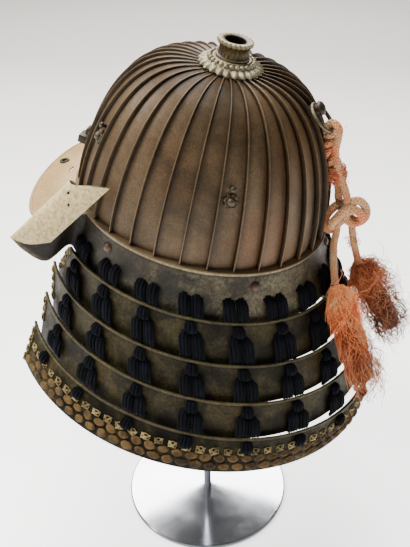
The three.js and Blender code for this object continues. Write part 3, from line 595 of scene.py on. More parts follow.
def tasselPiece(name):      # threads that spring from the line, curl and are held to the outline
    look = tassels[name]
    chance = np.random.RandomState(look["seed"])
    count, steps = look["threads"], thread["steps"]
    shares = np.linspace(0, 1, 25)
    profile = np.array(look["profile"])
    line = splineAt(look["line"], shares)
    forward = unit(np.gradient(line, axis=0))
    chord = line[-1] - line[0]

    def along(values, share):
        return np.stack([np.interp(share, shares, values[:, a]) for a in range(3)], axis=-1)

    def outline(share):
        return np.interp(share, profile[:, 0], profile[:, 1])

    start = np.where(chance.uniform(size=count) < thread["atHead"],
                     chance.uniform(0, thread["headEnd"], count),
                     chance.uniform(0, thread["lastStart"], count))
    outward = chance.normal(size=(count, 3))
    ahead = along(forward, start)
    outward = unit(outward - ahead * np.sum(outward * ahead, axis=-1, keepdims=True))
    spot = np.sqrt(chance.uniform(0.02, 0.8, count))
    place = along(line, start) + outward * (outline(start) * spot)[:, None]
    heading = unit(ahead * look["comb"] + outward * 0.75 + chance.normal(size=(count, 3)) * 0.45)
    bend = unit(chance.normal(size=(count, 3)))
    pace = chance.uniform(*thread["pace"], count)
    hold = np.where(chance.uniform(size=count) < thread["wild"], *thread["hold"])
    darkness = chance.uniform(0, 0.5, count) ** 1.4
    tracks, shade = [place], []
    for k in range(steps + 1):
        share = np.clip((place - line[0]) @ chord / (chord @ chord), 0, 1)
        centre = along(line, share)
        radial = place - centre
        far = np.linalg.norm(radial, axis=-1)
        room = outline(share)
        inside = np.clip(1 - far / room, 0, 1)
        # painted shade: threads deeper inside the bundle are darker; each thread also has its own random
        # tone, and all darken towards the tassel's end
        shade.append(np.clip(darkness + 0.6 * inside
                             + 0.55 * smoothStep(share, 0.15, 0.8) - 0.12, 0, 0.92))
        over = np.clip(far / room - 0.8, 0, 1.5) * hold
        heading = unit(heading + np.cross(bend, heading) * look["curl"]
                       + along(forward, share) * 0.10 * look["comb"]
                       - unit(radial) * over[:, None]
                       + chance.normal(size=(count, 3)) * 0.1 + np.array([0, 0, -0.05]))
        bend = unit(bend + chance.normal(size=(count, 3)) * 0.3)
        place = place + heading * pace[:, None]
        nearest = centre[:, 1] - room * thread["press"]      # the threads lie against the neck guard
        place[:, 1] = np.maximum(place[:, 1], nearest)
        tracks.append(place)
    hair = strands(name, plumb(np.stack(tracks[:-1], axis=1)), thread["thick"], 0, (1.15, 0.6),
                   np.stack(shade, axis=1))
    # a core inside the threads, coloured dark as painted shade in the gaps between them
    rows = tubeRows(line[:-2], outline(shares[:-2]) * 0.5, 20)
    core = loftPiece(name + "Core", plumb(rows), wearAndShade=np.full(rows.shape[:2], 0.9), angle=80)
    return joinPieces(name, [hair, core, cordHead(line[0], forward[0])])


def cordHead(start, forward):      # a ball of turned-back thread over the cord's end
    shares = np.linspace(0, 1, 12)
    path = start + forward * (shares * 11 - 0.5)[:, None]
    radius = 3.2 + 3.6 * np.sin(shares * math.pi) ** 0.7
    rows = tubeRows(path, radius, 24)
    ridges = 1 + 0.06 * np.cos(12 * ringTurns(24))[None, :, None]
    return loftPiece("head", plumb(path[:, None] + (rows - path[:, None]) * ridges), angle=80)


fringe = {"count": 300, "low": 31, "high": 45, "reach": 7.4, "thick": 0.36, "loose": 170,
          "ends": [(-1, 117, 70), (1, 119, 62), (0, 121, 52), (0, 131.5, 16), (2, 134.5, 13),
                   (-2.5, 143.3, -28), (-2.5, 144, -33), (1, 120.5, 80)]}


def whipping():      # a frayed fringe of thread round both strands, and loose ends about the cord
    chance = np.random.RandomState(5)
    paths = []
    for k in range(fringe["count"]):
        z = chance.uniform(fringe["low"], fringe["high"])
        turn, span = chance.uniform(0, fullTurn), chance.uniform(1.0, 3.4)
        steps = np.linspace(0, 1, 9)
        a = turn + span * steps
        swell = 0.86 + 0.3 * math.sin((z - fringe["low"]) * 0.22)
        size = fringe["reach"] * swell + chance.uniform(-1, 1.2)
        bend = chance.uniform(-3.5, 3.5)
        path = np.stack([size * 0.85 * np.cos(a), 123.8 + size * np.sin(a) - 0.12 * (z - 38),
                         z + bend * np.sin(steps * math.pi) + chance.uniform(-2, 2) * steps], axis=-1)
        if k % 4 == 0:
            path += (steps ** 2)[:, None] * chance.normal(size=3) * 3.2
        paths.append(path)
    for k in range(fringe["loose"]):      # frayed ends of the cord itself
        end = np.array(fringe["ends"][k % len(fringe["ends"])])
        spot = end + chance.normal(size=3) * np.array([2.2, 2.4, 3.0])
        way = unit(chance.normal(size=3))
        other = chance.normal(size=3)
        steps = np.linspace(0, 1, 7)[:, None]
        paths.append(spot + way * steps * chance.uniform(2.5, 6.0)
                     + other * np.sin(steps * chance.uniform(2, 5)) * 1.2)
    return strands("whipping", [plumb(path) for path in paths], fringe["thick"], 0, (1.1, 0.6))


twist = {"wire": 3.1, "reach": 3.5, "turns": 2.15, "steps": 46, "route": [
    (0.5, 118.6, 81), (0, 118.0, 74), (0.5, 115.8, 66), (0.5, 115.8, 60), (0, 119.5, 53),
    (0, 122.8, 45)]}


def twistedTurns():      # the cord's own twist, wound round itself just below the ring
    path = splineAt(twist["route"], np.linspace(0, 1, twist["steps"]))
    forward = unit(np.gradient(path, axis=0))
    side = unit(np.cross(forward, np.array([1.0, 0, 0])))
    other = np.cross(forward, side)
    made = []
    for k in range(2):
        turn = np.linspace(0, twist["turns"] * fullTurn, twist["steps"])[:, None] + k * math.pi
        wound = path + twist["reach"] * (np.cos(turn) * side + np.sin(turn) * other)
        made.append(cordSkin(f"twist{k}", wound, twist["wire"]))
    return joinPieces("twistedTurns", made)


bowKnot = dress(knotTurns(), cordSilk, "cord_silk", "cord_knot")
frontTassel = dress(tasselPiece("frontTassel"), frontSilk, "front_tassel_silk", "front_tassel")
rearTassel = dress(tasselPiece("rearTassel"), rearSilk, "rear_tassel_silk", "rear_tassel")
ringWhipping = dress(whipping(), whippingSilk, "cord_silk")
ringTwists = dress(twistedTurns(), cordSilk, "cord_silk")
dress(cordPieces["cordLoop"], cordSilk, "cord_silk", "cord_loop")
dress(cordPieces["cordFront"], cordSilk, "cord_silk", "cord_front")
dress(cordPieces["cordRear"], cordSilk, "cord_silk", "cord_rear")


print("cords and tassels made")

# The bowl: overlapping plates, each with a rib turned up along one edge.
bowl = {"plates": 32, "halfWidth": 112.4, "halfLength": 115.9, "height": 131.4,
        "crownRadius": 24.6, "crownShift": -2.5, "sideCurve": 0.72, "topCurve": 1.2,
        "thickness": 1.2, "ribWidth": 1.15, "ribHeight": 3.5, "ribHeightAtCrown": 0.8,
        "tuck": 2.3, "tuckDrop": 2.2, "stations": 44}


def bowlFace(degrees, rise):
    angle = np.radians(degrees)
    reach = np.maximum(np.cos(rise * quarterTurn), 0) ** bowl["sideCurve"]
    climb = np.sin(rise * quarterTurn) ** bowl["topCurve"]
    across = lerp(bowl["crownRadius"], bowl["halfWidth"], reach)
    along = lerp(bowl["crownRadius"], bowl["halfLength"], reach)
    return np.stack(np.broadcast_arrays(
        across * np.cos(angle), bowl["crownShift"] * climb + along * np.sin(angle),
        bowl["height"] * climb), axis=-1)


def bowlNormal(degrees, rise):
    low, high = np.maximum(rise - 0.01, 0.0), np.minimum(rise + 0.01, 0.995)
    up = bowlFace(degrees, high) - bowlFace(degrees, low)
    about = bowlFace(degrees + 1, rise) - bowlFace(degrees - 1, rise)
    return unit(np.cross(about, up))


def bowlPlate(index):
    pitch = 360 / bowl["plates"]
    lead = -90 + (index - 0.5) * pitch
    t = np.linspace(0, 1, bowl["stations"])
    rises = 1 - (1 - t) ** 1.12
    rows, wearAndShade = [], []
    for rise in rises:
        arc = np.linalg.norm(bowlFace(lead, rise) - bowlFace(lead + pitch, rise))
        far = arc + min(bowl["tuck"], 0.25 * arc)
        rib = lerp(bowl["ribHeight"], bowl["ribHeightAtCrown"], rise ** 5)
        w, drop, thick = bowl["ribWidth"], bowl["tuckDrop"], bowl["thickness"]
        face = [(lerp(w + 0.5, far, s), -drop * s ** 1.3) for s in np.linspace(0, 1, 9)]
        outline = [(0.0, rib - 0.3), (0.22, rib), (w - 0.3, rib), (w - 0.08, rib - 0.3), (w, 0.45),
                   (w + 0.16, 0.12)] + face + [(far, -drop - thick), (far * 0.5, -thick * 1.6),
                                               (w, -thick), (0.0, -thick)]
        s, lift = np.array(outline).T
        rows.append(bowlFace(lead + pitch * s / arc, rise)
                    + lift[:, None] * bowlNormal(lead + pitch * s / arc, rise))
        foot = smoothStep(rise, 0.0, 0.05)
        # negative values paint shade on the rib's walls and beside its foot, at the tuck under the next
        # plate and on the underside; the lighter rib crest is rubbed wear and painted highlight
        wearAndShade.append([-0.2, 0.35, 0.45, 0.0, -0.7, -0.9, -0.6, -0.25] + [0.0] * 6
                    + [-0.4, -1, -1, -1, -1])
        wearAndShade[-1] = [max(v, 0.35 * (1 - foot)) if v >= 0 else v for v in wearAndShade[-1]]
    return loftPiece(f"bowlPlate{index + 1:02d}", toRow(rows), wearAndShade=wearAndShade, angle=34)


for index in range(bowl["plates"]):
    dress(bowlPlate(index), bowlIron, "russet_iron", f"bowl_plate_{index + 1:02d}")

flower = {"angles": (-123.75, -56.25, 22.5, 157.5), "rise": 0.355, "pinRise": 0.41, "petals": 8,
          "washer": [(7.0, -2.4), (7.0, 0.9), (6.5, 1.6), (5.4, 2.1), (4.2, 1.7), (3.8, 1.7),
                     (3.6, 3.2), (2.6, 4.6), (1.1, 5.3), (0.05, 5.4)],
          "pin": [(1.5, -2.0), (1.5, 2.0), (2.3, 2.4), (2.7, 3.4), (2.4, 4.5), (1.4, 5.3),
                  (0.05, 5.6)]}


def flowerShape(turn, radius, height):      # petals round the washer, none on its rivet
    notch = 0.24 * np.abs(np.cos(turn * flower["petals"] / 2)) ** 3 if radius > 4 else 0
    return radius * (1 - notch), radius * (1 - notch)


def flowerRivet(degrees):      # a petalled washer with a domed rivet, and a pin just above it
    sides = flower["petals"] * 6
    washer = turned("washer", flower["washer"], sides, 30, flowerShape)
    pin = turned("pin", flower["pin"], sides, 40)
    for piece, rise in ((washer, flower["rise"]), (pin, flower["pinRise"])):
        foot, out = toRow(bowlFace(degrees, rise)), rowDirection(bowlNormal(degrees, rise))
        piece.data.transform(basis(foot, (0, 0, 1), out))
    return [washer, pin]


rivets = [piece for degrees in flower["angles"] for piece in flowerRivet(degrees)]
dress(joinPieces("flowerRivets", rivets), darkIron, "russet_iron")
print("bowl made")

crown = {"shift": -1, "petals": 24, "beads": 26, "beadReach": 19.4, "beadRadius": 2.28,
         "beadHeight": 5.9, "flutes": 22}
crownFoot = bowl["height"] + bowl["ribHeightAtCrown"] + 0.35


def crownRows(profile, petals):      # profile: radius, height, how deep and how low the petals' gaps are
    turn = ringTurns(petals * 10)
    swell = np.abs(np.cos(turn * petals / 2)) ** 2.2
    rows = []
    for radius, z, notch, dip in profile:
        r = radius - notch * swell
        rows.append(np.stack([r * np.cos(turn), crown["shift"] + r * np.sin(turn),
                              crownFoot + z - dip * swell], axis=-1))
    return np.swapaxes(np.array(rows), 0, 1)


def crownBase():
    profile = [(10.6, 0, 0, 0), (28.6, 0, 2.4, 0), (29, 0.5, 2.6, 0.1), (28.8, 1.3, 2.6, 0.3),
               (27.6, 2.7, 2.2, 0.7), (25.6, 3.8, 1.6, 1.0), (23.2, 4.3, 0.8, 1.0),
               (21.4, 4.4, 0, 0.3), (20.8, 4.5, 0, 0), (20.4, 5.2, 0, 0), (18.6, 5.6, 0, 0),
               (17.6, 6.2, 0, 0), (17, 7.4, 0, 0), (16.4, 7.8, 0, 0), (10.6, 7.8, 0, 0)]
    base = loftPiece("crownBase", toRow(crownRows(profile, crown["petals"])), angle=28, endless=True)
    beads = []
    for k in range(crown["beads"]):
        angle = k * fullTurn / crown["beads"]
        spot = toRow((crown["beadReach"] * math.cos(angle),
                      crown["shift"] + crown["beadReach"] * math.sin(angle),
                      crownFoot + crown["beadHeight"]))
        alone()
        bpy.ops.mesh.primitive_uv_sphere_add(segments=14, ring_count=9,
                                             radius=crown["beadRadius"] * 0.001, location=spot)
        bead = bpy.context.object
        settle(bead)
        finishEdit(bead, 80)
        beads.append(bead)
    return joinPieces("crownBase", [base] + beads)


def crownTube():
    z0 = 7.8 + 0.35
    profile = [(9.1, z0, 0, 0), (14.6, z0, 0, 0), (14.9, z0 + 0.7, 0, 0), (14.6, z0 + 1.6, 0, 0),
               (13.4, z0 + 2.2, 0.2, 0), (12.7, z0 + 4.2, 0.7, 0), (12.7, z0 + 6.4, 0.8, 0),
               (13.1, 17.2, 0.8, 0), (13.8, 18.8, 0.6, 0), (15.0, 19.6, 0.9, 0),
               (15.8, 20.4, 1.3, 0.1), (15.9, 21.6, 1.4, 0.1), (15.8, 22.8, 1.4, 0.3),
               (15.1, 23.5, 1.0, 0.5), (13.4, 23.5, 0.2, 0.2), (10.6, 23.1, 0, 0),
               (9.3, 22.4, 0, 0), (9.1, 20.5, 0, 0), (9.1, 14, 0, 0)]
    rows = crownRows(profile, crown["flutes"])
    # negative values paint shade at the tube's foot and inside it; positive values are rubbed wear round
    # its rim
    wearAndShade = np.array([-1, 0, .4, .2, 0, 0, 0, 0, 0, 0, .3, .5, .8, 1, .6, .3, -.5, -1, -1.0])
    return loftPiece("crownTube", toRow(rows), wearAndShade=np.tile(wearAndShade, (rows.shape[0], 1)), angle=30,
                     endless=True)


dress(crownBase(), crownMetal, "crown_metal", "crown_base")
dress(crownTube(), tubeMetal, "tube_metal", "crown_tube")
print("crown ornament made")

# The neck guard: five laced plates, the first with a band inside it and two wings.
neck = {"plates": 5, "thickness": 1.6, "plateSpace": 5.0, "bandFace": -3.0, "bandFlare": 0.125,
        "edges": {      # one column for each edge, top of plate 1 to the foot of plate 5
            "z": [-2.9, -43.4, -78.5, -109.3, -138.7, -170.4],
            "halfWidth": [114.4, 126.6, 139.0, 151.8, 165.2, 180.2],
            "halfLength": [117.9, 137.0, 151.6, 164.5, 178.0, 187.3],
            "shift": [0.0, 7.2, 15.9, 23.2, 27.5, 24.4],
            "frontEnd": [-46.4, -49, -61, -59, -56.5, -51],
            "sideLap": [0, 6.5, 6.5, 6.5, 6.5, 0],
            "backLap": [0, 6, 5, 2, -1, 0],
            "frontLap": [0, 3.5, 10.5, 10.5, 10.5, 0]}}


def neckRing(edge, degrees, inset=0.0):
    e = {key: values[edge] for key, values in neck["edges"].items()}
    angle = np.radians(degrees)
    return np.stack(np.broadcast_arrays(
        (e["halfWidth"] - inset) * np.cos(angle),
        e["shift"] + (e["halfLength"] - inset) * np.sin(angle), e["z"]), axis=-1)


def neckFrame(plate, degrees, footDegrees=None):
    footDegrees = degrees if footDegrees is None else footDegrees
    inset = neck["thickness"] + neck["plateSpace"] if plate < neck["plates"] else 0
    top = neckRing(plate - 1, degrees)
    down = neckRing(plate, footDegrees, inset) - top
    fromSide = np.where(degrees < 90, degrees, 180 - degrees)
    sideLap, backLap, frontLap = (neck["edges"][key][plate]
                                  for key in ("sideLap", "backLap", "frontLap"))
    height = (np.linalg.norm(down, axis=-1) + lerp(sideLap, backLap, smoothStep(fromSide, 20, 80))
              + frontLap * smoothStep(-fromSide, 10, 50))
    down = unit(down)
    about = unit(neckRing(plate - 1, degrees + 1) - neckRing(plate - 1, degrees - 1))
    return {"top": top, "down": down, "out": unit(np.cross(down, about)), "about": about,
            "height": height}


def onNeck(f, depth, lift, side=0.0):
    return f["top"] + f["down"] * depth + f["out"] * lift + f["about"] * side


def frameAt(frames, k):
    return {key: values[k] for key, values in frames.items()}


wing = {"steps": 64, "rows": [      # top corner, then foot corner
    (83, -93, -2.8, 86, -95.5, -39.5), (88, -95, 14, 103, -111, -53),
    (88, -95, 27, 108, -131, -45), (90, -99, 30, 112, -140, -34), (96, -95, 31, 119, -137, -27),
    (97, -79, 36, 120, -121, -26), (96, -62, 39, 114, -103, -21)],
    "holes": ((0.765, 10.3), (0.85, 25.2)),      # share along the wing, depth below its top
    # the last pair of stations bounds the painted shade under the turned-back wing
    "holeRadius": 1.4, "holeWear": 0.9, "bare": (40, 26), "flapShadow": (118, 64)}      # stations from the tip


def wingFrames(start, shares):
    rows = np.array(wing["rows"], float)
    tops = np.concatenate([[start["top"]], rows[:, :3]])
    feet = np.concatenate([[start["top"] + start["down"] * start["height"]], rows[:, 3:]])
    top, foot = splineAt(tops, shares), splineAt(feet, shares)
    down = foot - top
    height = np.linalg.norm(down, axis=-1)
    down = unit(down)
    step = 0.002
    about = -(unit(splineAt(tops, shares + step) - splineAt(tops, shares - step))
              + unit(splineAt(feet, shares + step) - splineAt(feet, shares - step)))
    return {"top": top, "down": down, "out": unit(np.cross(down, unit(about))), "about": about,
            "height": height}


def plateRows(frames):      # section of a plate: rolled top edge, face, foot edge and inside
    t = neck["thickness"]
    # the last number of each column: positive is rubbed wear on the rolled and foot edges, negative paints
    # shade below the roll, under the foot and on the inside
    roll = [(0.5, -t, -1), (0.1, -t + 0.5, 0), (0, 0.4, 0.3), (0.35, 1.0, 0.5), (1.2, 1.25, 0.45),
            (2.1, 0.95, 0.2), (2.7, 0.4, -0.2), (3.0, 0.06, -0.6)]
    h = frames["height"]
    columns, wearAndShade = [], []
    for depth, lift, toneShift in roll:
        columns.append((np.full_like(h, depth), lift))
        wearAndShade.append(toneShift)
    for s in np.linspace(0.12, 0.93, 9):
        columns.append((h * s, 0.0))
        wearAndShade.append(0.0)
    for back, lift, toneShift in ((1.2, 0, 0.05), (0.35, -0.1, 0.35), (0, -0.5, 0.4),
                               (0, -t + 0.3, -0.1), (0.5, -t, -1)):
        columns.append((h - back, lift))
        wearAndShade.append(toneShift)
    for s in (0.75, 0.5, 0.25):
        columns.append((h * s, -t))
        wearAndShade.append(-1.0)
    rows = np.stack([frames["top"] + frames["down"] * d[:, None] + frames["out"] * lift
                     for d, lift in columns], axis=1)
    return rows, np.tile(wearAndShade, (len(h), 1))


def plateFrames(plate, steps=96):
    topEnd = neck["edges"]["frontEnd"][plate - 1]
    footEnd = topEnd if plate == 1 else neck["edges"]["frontEnd"][plate]
    corner = max(topEnd, footEnd) + 10
    degrees = np.linspace(90, corner, steps)
    share = np.linspace(0, 1, 12)[1:]
    tops = np.concatenate([degrees, lerp(corner, topEnd, share)])
    feet = np.concatenate([degrees, lerp(corner, footEnd, share)])
    return neckFrame(plate, tops, feet)


def neckPlate(plate):
    frames = plateFrames(plate)
    if plate == 1:
        shares = np.linspace(0, 1, wing["steps"] + 1)[1:]
        more = wingFrames(frameAt(frames, -1), shares)
        frames = {key: np.concatenate([frames[key], more[key]]) for key in frames}
    rows, wearAndShade = plateRows(frames)
    if plate == 1:      # the wing's outer side is the plate's inner one, given the edge tone; painted shade darkens the plate's outer face from near the wing's root onwards, under the flap
        count = len(wearAndShade)
        bare, flapShadow = (smoothStep(np.arange(count), count - first, count - last)[:, None]
                      for first, last in (wing["bare"], wing["flapShadow"]))
        wearAndShade = lerp(wearAndShade, np.where(wearAndShade < 0, 1.0, wearAndShade), bare)
        wearAndShade = np.where(np.abs(wearAndShade) < 0.01, -0.85 * flapShadow, wearAndShade)
    rows = np.concatenate([(rows[1:] * mirrors[1])[::-1], rows])
    wearAndShade = np.concatenate([wearAndShade[1:][::-1], wearAndShade])
    return loftPiece(f"neckPlate{plate}", toRow(rows), wearAndShade=wearAndShade, angle=38)


def cutHoles(piece, seats, radius, stretch=1.0, toneShift=None):
    for place in seats:
        alone()
        bpy.ops.mesh.primitive_cylinder_add(vertices=20, radius=radius * 0.001, depth=0.008)
        cutter = bpy.context.object
        cutter.data.transform(Matrix.Diagonal((stretch, 1, 1, 1)))
        cutter.data.transform(place)
        cutWith(piece, cutter)
        bpy.data.objects.remove(cutter)
    if toneShift is not None:      # the cut's own points wear like the rest
        near = (radius + 2) * 0.001
        for vertex, value in zip(piece.data.vertices, piece.data.attributes["wearAndShade"].data):
            if min((vertex.co - place.translation).length for place in seats) < near:
                value.value = max(value.value, toneShift)
    finishEdit(piece, 38)


def wingHoleSeats():
    tip = frameAt(plateFrames(1), -1)
    seats = []
    for share, depth in wing["holes"]:
        f = wingFrames(tip, np.array([share]))
        seats += [seat(onNeck(f, depth, 0)[0] * way, (1, 0, 0), f["out"][0] * way) for way in mirrors]
    return seats


domes = {"angles": (-28, 38, 96, 142, 208), "depth": 13, "radius": 4.6, "height": 3.3,
         "profile": [(1.0, -0.08), (1.0, 0.1), (0.95, 0.34), (0.8, 0.62), (0.55, 0.86),
                     (0.28, 0.97), (0.02, 1.0)]}


def domeRivets():
    made = []
    for degrees in domes["angles"]:
        profile = [(r * domes["radius"], h * domes["height"]) for r, h in domes["profile"]]
        dome = turned("dome", profile, 28, 50)
        f = neckFrame(1, float(degrees))
        dome.data.transform(seat(onNeck(f, domes["depth"], 0), f["about"], f["out"]))
        made.append(dome)
    return joinPieces("domeRivets", made)


for plate in range(1, neck["plates"] + 1):
    piece = neckPlate(plate)
    look = plateIron
    if plate == 1:
        look = firstPlateIron
        cutHoles(piece, wingHoleSeats(), wing["holeRadius"], toneShift=wing["holeWear"])
        dress(domeRivets(), domeIron, "lacquered_neck_plate")
    dress(piece, look, "lacquered_neck_plate", f"neck_plate_{plate}")


def lipOut(degrees):
    angle = np.radians(degrees)
    e = neck["edges"]
    return unit(np.stack([np.cos(angle) / e["halfWidth"][0], np.sin(angle) / e["halfLength"][0],
                          np.zeros_like(angle)], axis=-1))


def besideLip(degrees, lift, z):
    place = neckRing(0, degrees)
    place = place * np.array([1, 1, 0]) + np.array([0, 0, 1]) * np.reshape(z, (-1, 1))
    return place + lipOut(degrees) * np.reshape(lift, (-1, 1))


def bandFace(z):
    return neck["bandFace"] - z * neck["bandFlare"]


def baseBand():
    outline = [(-6, -0.35), (2.4, -0.35), (3.0, -0.5), (3.3, -1.0), (3.1, -1.6), (2.4, -1.85),
               (bandFace(-1.85), -1.85), (bandFace(-11), -11), (bandFace(-20), -20),
               (bandFace(-20) - 1.5, -20), (bandFace(-11) - 1.5, -11), (-6, -1.85)]
    degrees = np.linspace(0, 360, 180, endpoint=False)
    rows = np.stack([besideLip(degrees, lift, z) for lift, z in
                     ((np.full(180, a), np.full(180, b)) for a, b in outline)], axis=1)
    # positive values are rubbed wear on the lip's roll; negative values paint shade below it and on the
    # band's face
    wearAndShade = np.array([0, .2, .8, 1, .8, .2, -.6, -1, -1, -1, -1, -1.0])
    return loftPiece("baseBand", toRow(rows), wearAndShade=np.tile(wearAndShade, (180, 1)), angle=30, endless=True)


dress(baseBand(), bowlIron, "dark_iron", "base_band")
print("neck guard made")

# The lacing: silk strands through the plates, a nub and a pair of loops at each crossing.
lacing = {"columns": 16, "pitch": 17.6, "holeDepth": 4.2, "firstHoleDepth": 24,
          "bundle": (-4.1, -1.4, 1.4, 4.1), "apart": 6.0, "strand": 1.55,
          "nubLength": 9.5, "nubStrands": (-4.2, -1.5, 1.5, 4.2)}


def nub(f, start):      # strands turned over just below the rolled edge
    paths = []
    for side in lacing["nubStrands"]:
        t = np.linspace(0, math.pi, 10)
        short = 0.16 * abs(side)
        depth = start + short + (lacing["nubLength"] - 2 * short) * (1 - np.cos(t)) / 2
        lift = -0.8 + (5.6 - 0.09 * side * side) * np.sin(t) ** 0.7
        paths.append([onNeck(f, d, l, side * (0.72 + 0.33 * math.sin(a)))
                      for d, l, a in zip(depth, lift, t)])
    return paths


def loops(f, start, end, gather, chance):      # a pair of fat bundles spreading from the nub
    paths = []
    for way in (-1, 1):
        for own in lacing["bundle"]:
            side = way * lacing["apart"] + own + chance.uniform(-0.25, 0.25)
            t = np.linspace(0, 1, 12)
            swell = np.sin(np.clip(t * 1.08, 0, 1) * math.pi)
            begin = start + 0.13 * own * own + chance.uniform(-0.4, 0.4)
            depth = lerp(begin, end, t)
            drawn = lerp(gather, 1.0, smoothStep(t, 0, 0.2))
            lift = -0.9 + 3.9 * smoothStep(t, 0, 0.16) + (2.4 - 0.1 * own * own) * swell
            lift = lift - 1.6 * smoothStep(t, 0.78, 1)
            paths.append([onNeck(f, d, l, side * s) for d, l, s in zip(depth, lift, drawn)])
    return paths


def lacingColumn(degrees, chance):
    paths = []
    for plate in range(1, neck["plates"] + 1):
        f = neckFrame(plate, degrees)
        start = lacing["firstHoleDepth"] if plate == 1 else lacing["holeDepth"] + 0.4
        if plate > 1:
            paths += nub(f, start)
            start += lacing["nubLength"] - 2.0
        if plate < neck["plates"]:
            edge = float(np.dot(neckRing(plate, degrees) - f["top"], f["down"])) + 1.2
            paths += loops(f, start, edge, 0.62 if plate > 1 else 0.92, chance)
    return [toRow(np.array(path)) for path in paths]


def columnAngle(k):
    return 90 + lacing["pitch"] * (k - (lacing["columns"] - 1) / 2)


laceChance = np.random.RandomState(3)
for pair in range(lacing["columns"] // 2):
    paths = [path for k in (2 * pair, 2 * pair + 1)
             for path in lacingColumn(columnAngle(k), laceChance)]
    piece = strands(f"lacing{pair + 1}", paths, lacing["strand"], 2)
    dress(piece, lacingSilk, "lacing_silk", f"lacing_{pair + 1}")
print("lacing made")

# The stitched edging along the last plate: gold ovals in two rows, and crossed threads above.
edging = {"pitch": 13.0, "oval": (5.5, 3.7, 2.0), "rowsUp": (6.2, 14.2), "crossUp": 20.8,
          "crossReach": 3.5, "thread": 0.62, "endSpace": 6.0, "frontPitch": 9.0}


def edgingSeats(up, offset):      # at even distances along the last plate's foot
    plate = neck["plates"]
    front = neck["edges"]["frontEnd"][plate] + 0.5
    degrees = np.linspace(front, 180 - front, 500)
    f = neckFrame(plate, degrees)
    far = alongPath(onNeck(f, f["height"][:, None], 0))
    seats = []
    for place in np.arange(edging["endSpace"] + offset, far[-1] - edging["endSpace"], edging["pitch"]):
        f = neckFrame(plate, float(np.interp(place, far, degrees)))
        seats.append(seat(onNeck(f, float(f["height"]) - up, 0.1), f["about"], f["out"]))
    return seats


def ovalModel():      # a padded oval of thread laid side by side
    wide, tall, high = edging["oval"]
    ridges = 7
    across = np.linspace(-1, 1, ridges * 4 + 1)
    lengths = np.linspace(-1, 1, 15)
    rows = []
    for y in across:
        half = math.sqrt(max(1 - y * y, 0.004))
        lift = high * (0.3 + 0.7 * half) + 0.22 * math.cos(y * ridges * math.pi) * half
        x = lengths * half
        z = lift * np.sqrt(np.clip(1 - lengths ** 4, 0, 1))
        top = np.stack([x * wide, np.full(15, y * tall), z], axis=-1)
        foot = np.stack([x[::-1] * wide, np.full(15, y * tall), np.full(15, -0.6)], axis=-1)
        rows.append(np.concatenate([top, foot[1:-1]]))
    return loftPiece("oval", np.array(rows) * 0.001, angle=70)


def crossModel():      # short threads crossed over a ring of thread
    reach = edging["crossReach"]
    t, turn = np.linspace(-1, 1, 7), np.linspace(0, fullTurn, 15)
    paths = []
    for way in (1, -1):
        paths.append((reach * t, way * reach * 0.8 * t, 2.2 - 1.6 * t * t))
        paths.append((reach * (0.85 * t + 0.3 * way), reach * 0.75 * t * way, 1.7 - 1.3 * t * t))
    paths.append((reach * 1.05 * np.cos(turn), reach * 0.85 * np.sin(turn), np.full(15, 0.5)))
    return strands("cross", [np.stack(path, axis=-1) * 0.001 for path in paths], edging["thread"], 1)


def frontKnots():      # the same crossed threads down the front edge of each laced plate
    seats = []
    for plate in range(2, neck["plates"] + 1):
        f = frameAt(plateFrames(plate), -2)
        height = float(f["height"]) - (0 if plate == neck["plates"] else 12)
        for depth in np.arange(7, height - 2, edging["frontPitch"]):
            seats += [seat(onNeck(f, depth, 0.1) * way, f["down"] * way, f["out"] * way) for way in mirrors]
    return seats


edgingChance = np.random.RandomState(17)
ovals = [place for k, up in enumerate(edging["rowsUp"])
         for place in edgingSeats(up, k * edging["pitch"] / 2)]
dress(copies("edgingOvals", ovalModel(), ovals, edgingChance), goldThread, "lacquered_neck_plate")
crosses = edgingSeats(edging["crossUp"], 0.0) + frontKnots()
dress(copies("edgingCrosses", crossModel(), crosses, edgingChance), paleThread, "lacquered_neck_plate")
print("edging made")

brim = {"halfAngle": 43, "rimHalfWidth": 90.3, "rimSide": 126.5, "rimFront": 156,
        "rimSideZ": -22.7, "rimFrontZ": -17.7, "thickness": 1.6, "swell": 2.5, "rim": 1.5,
        "rootZ": -2.2, "flangeFoot": -15, "stations": 72, "eyelet": (0, -142, -10.6),
        "eyeletRadius": 2.6, "slotRadius": 1.15, "slotStretch": 4.8, "gap": 0.35,
        "slots": (-17.5, 17.5), "slotPlace": (-127.5, -5.7)}


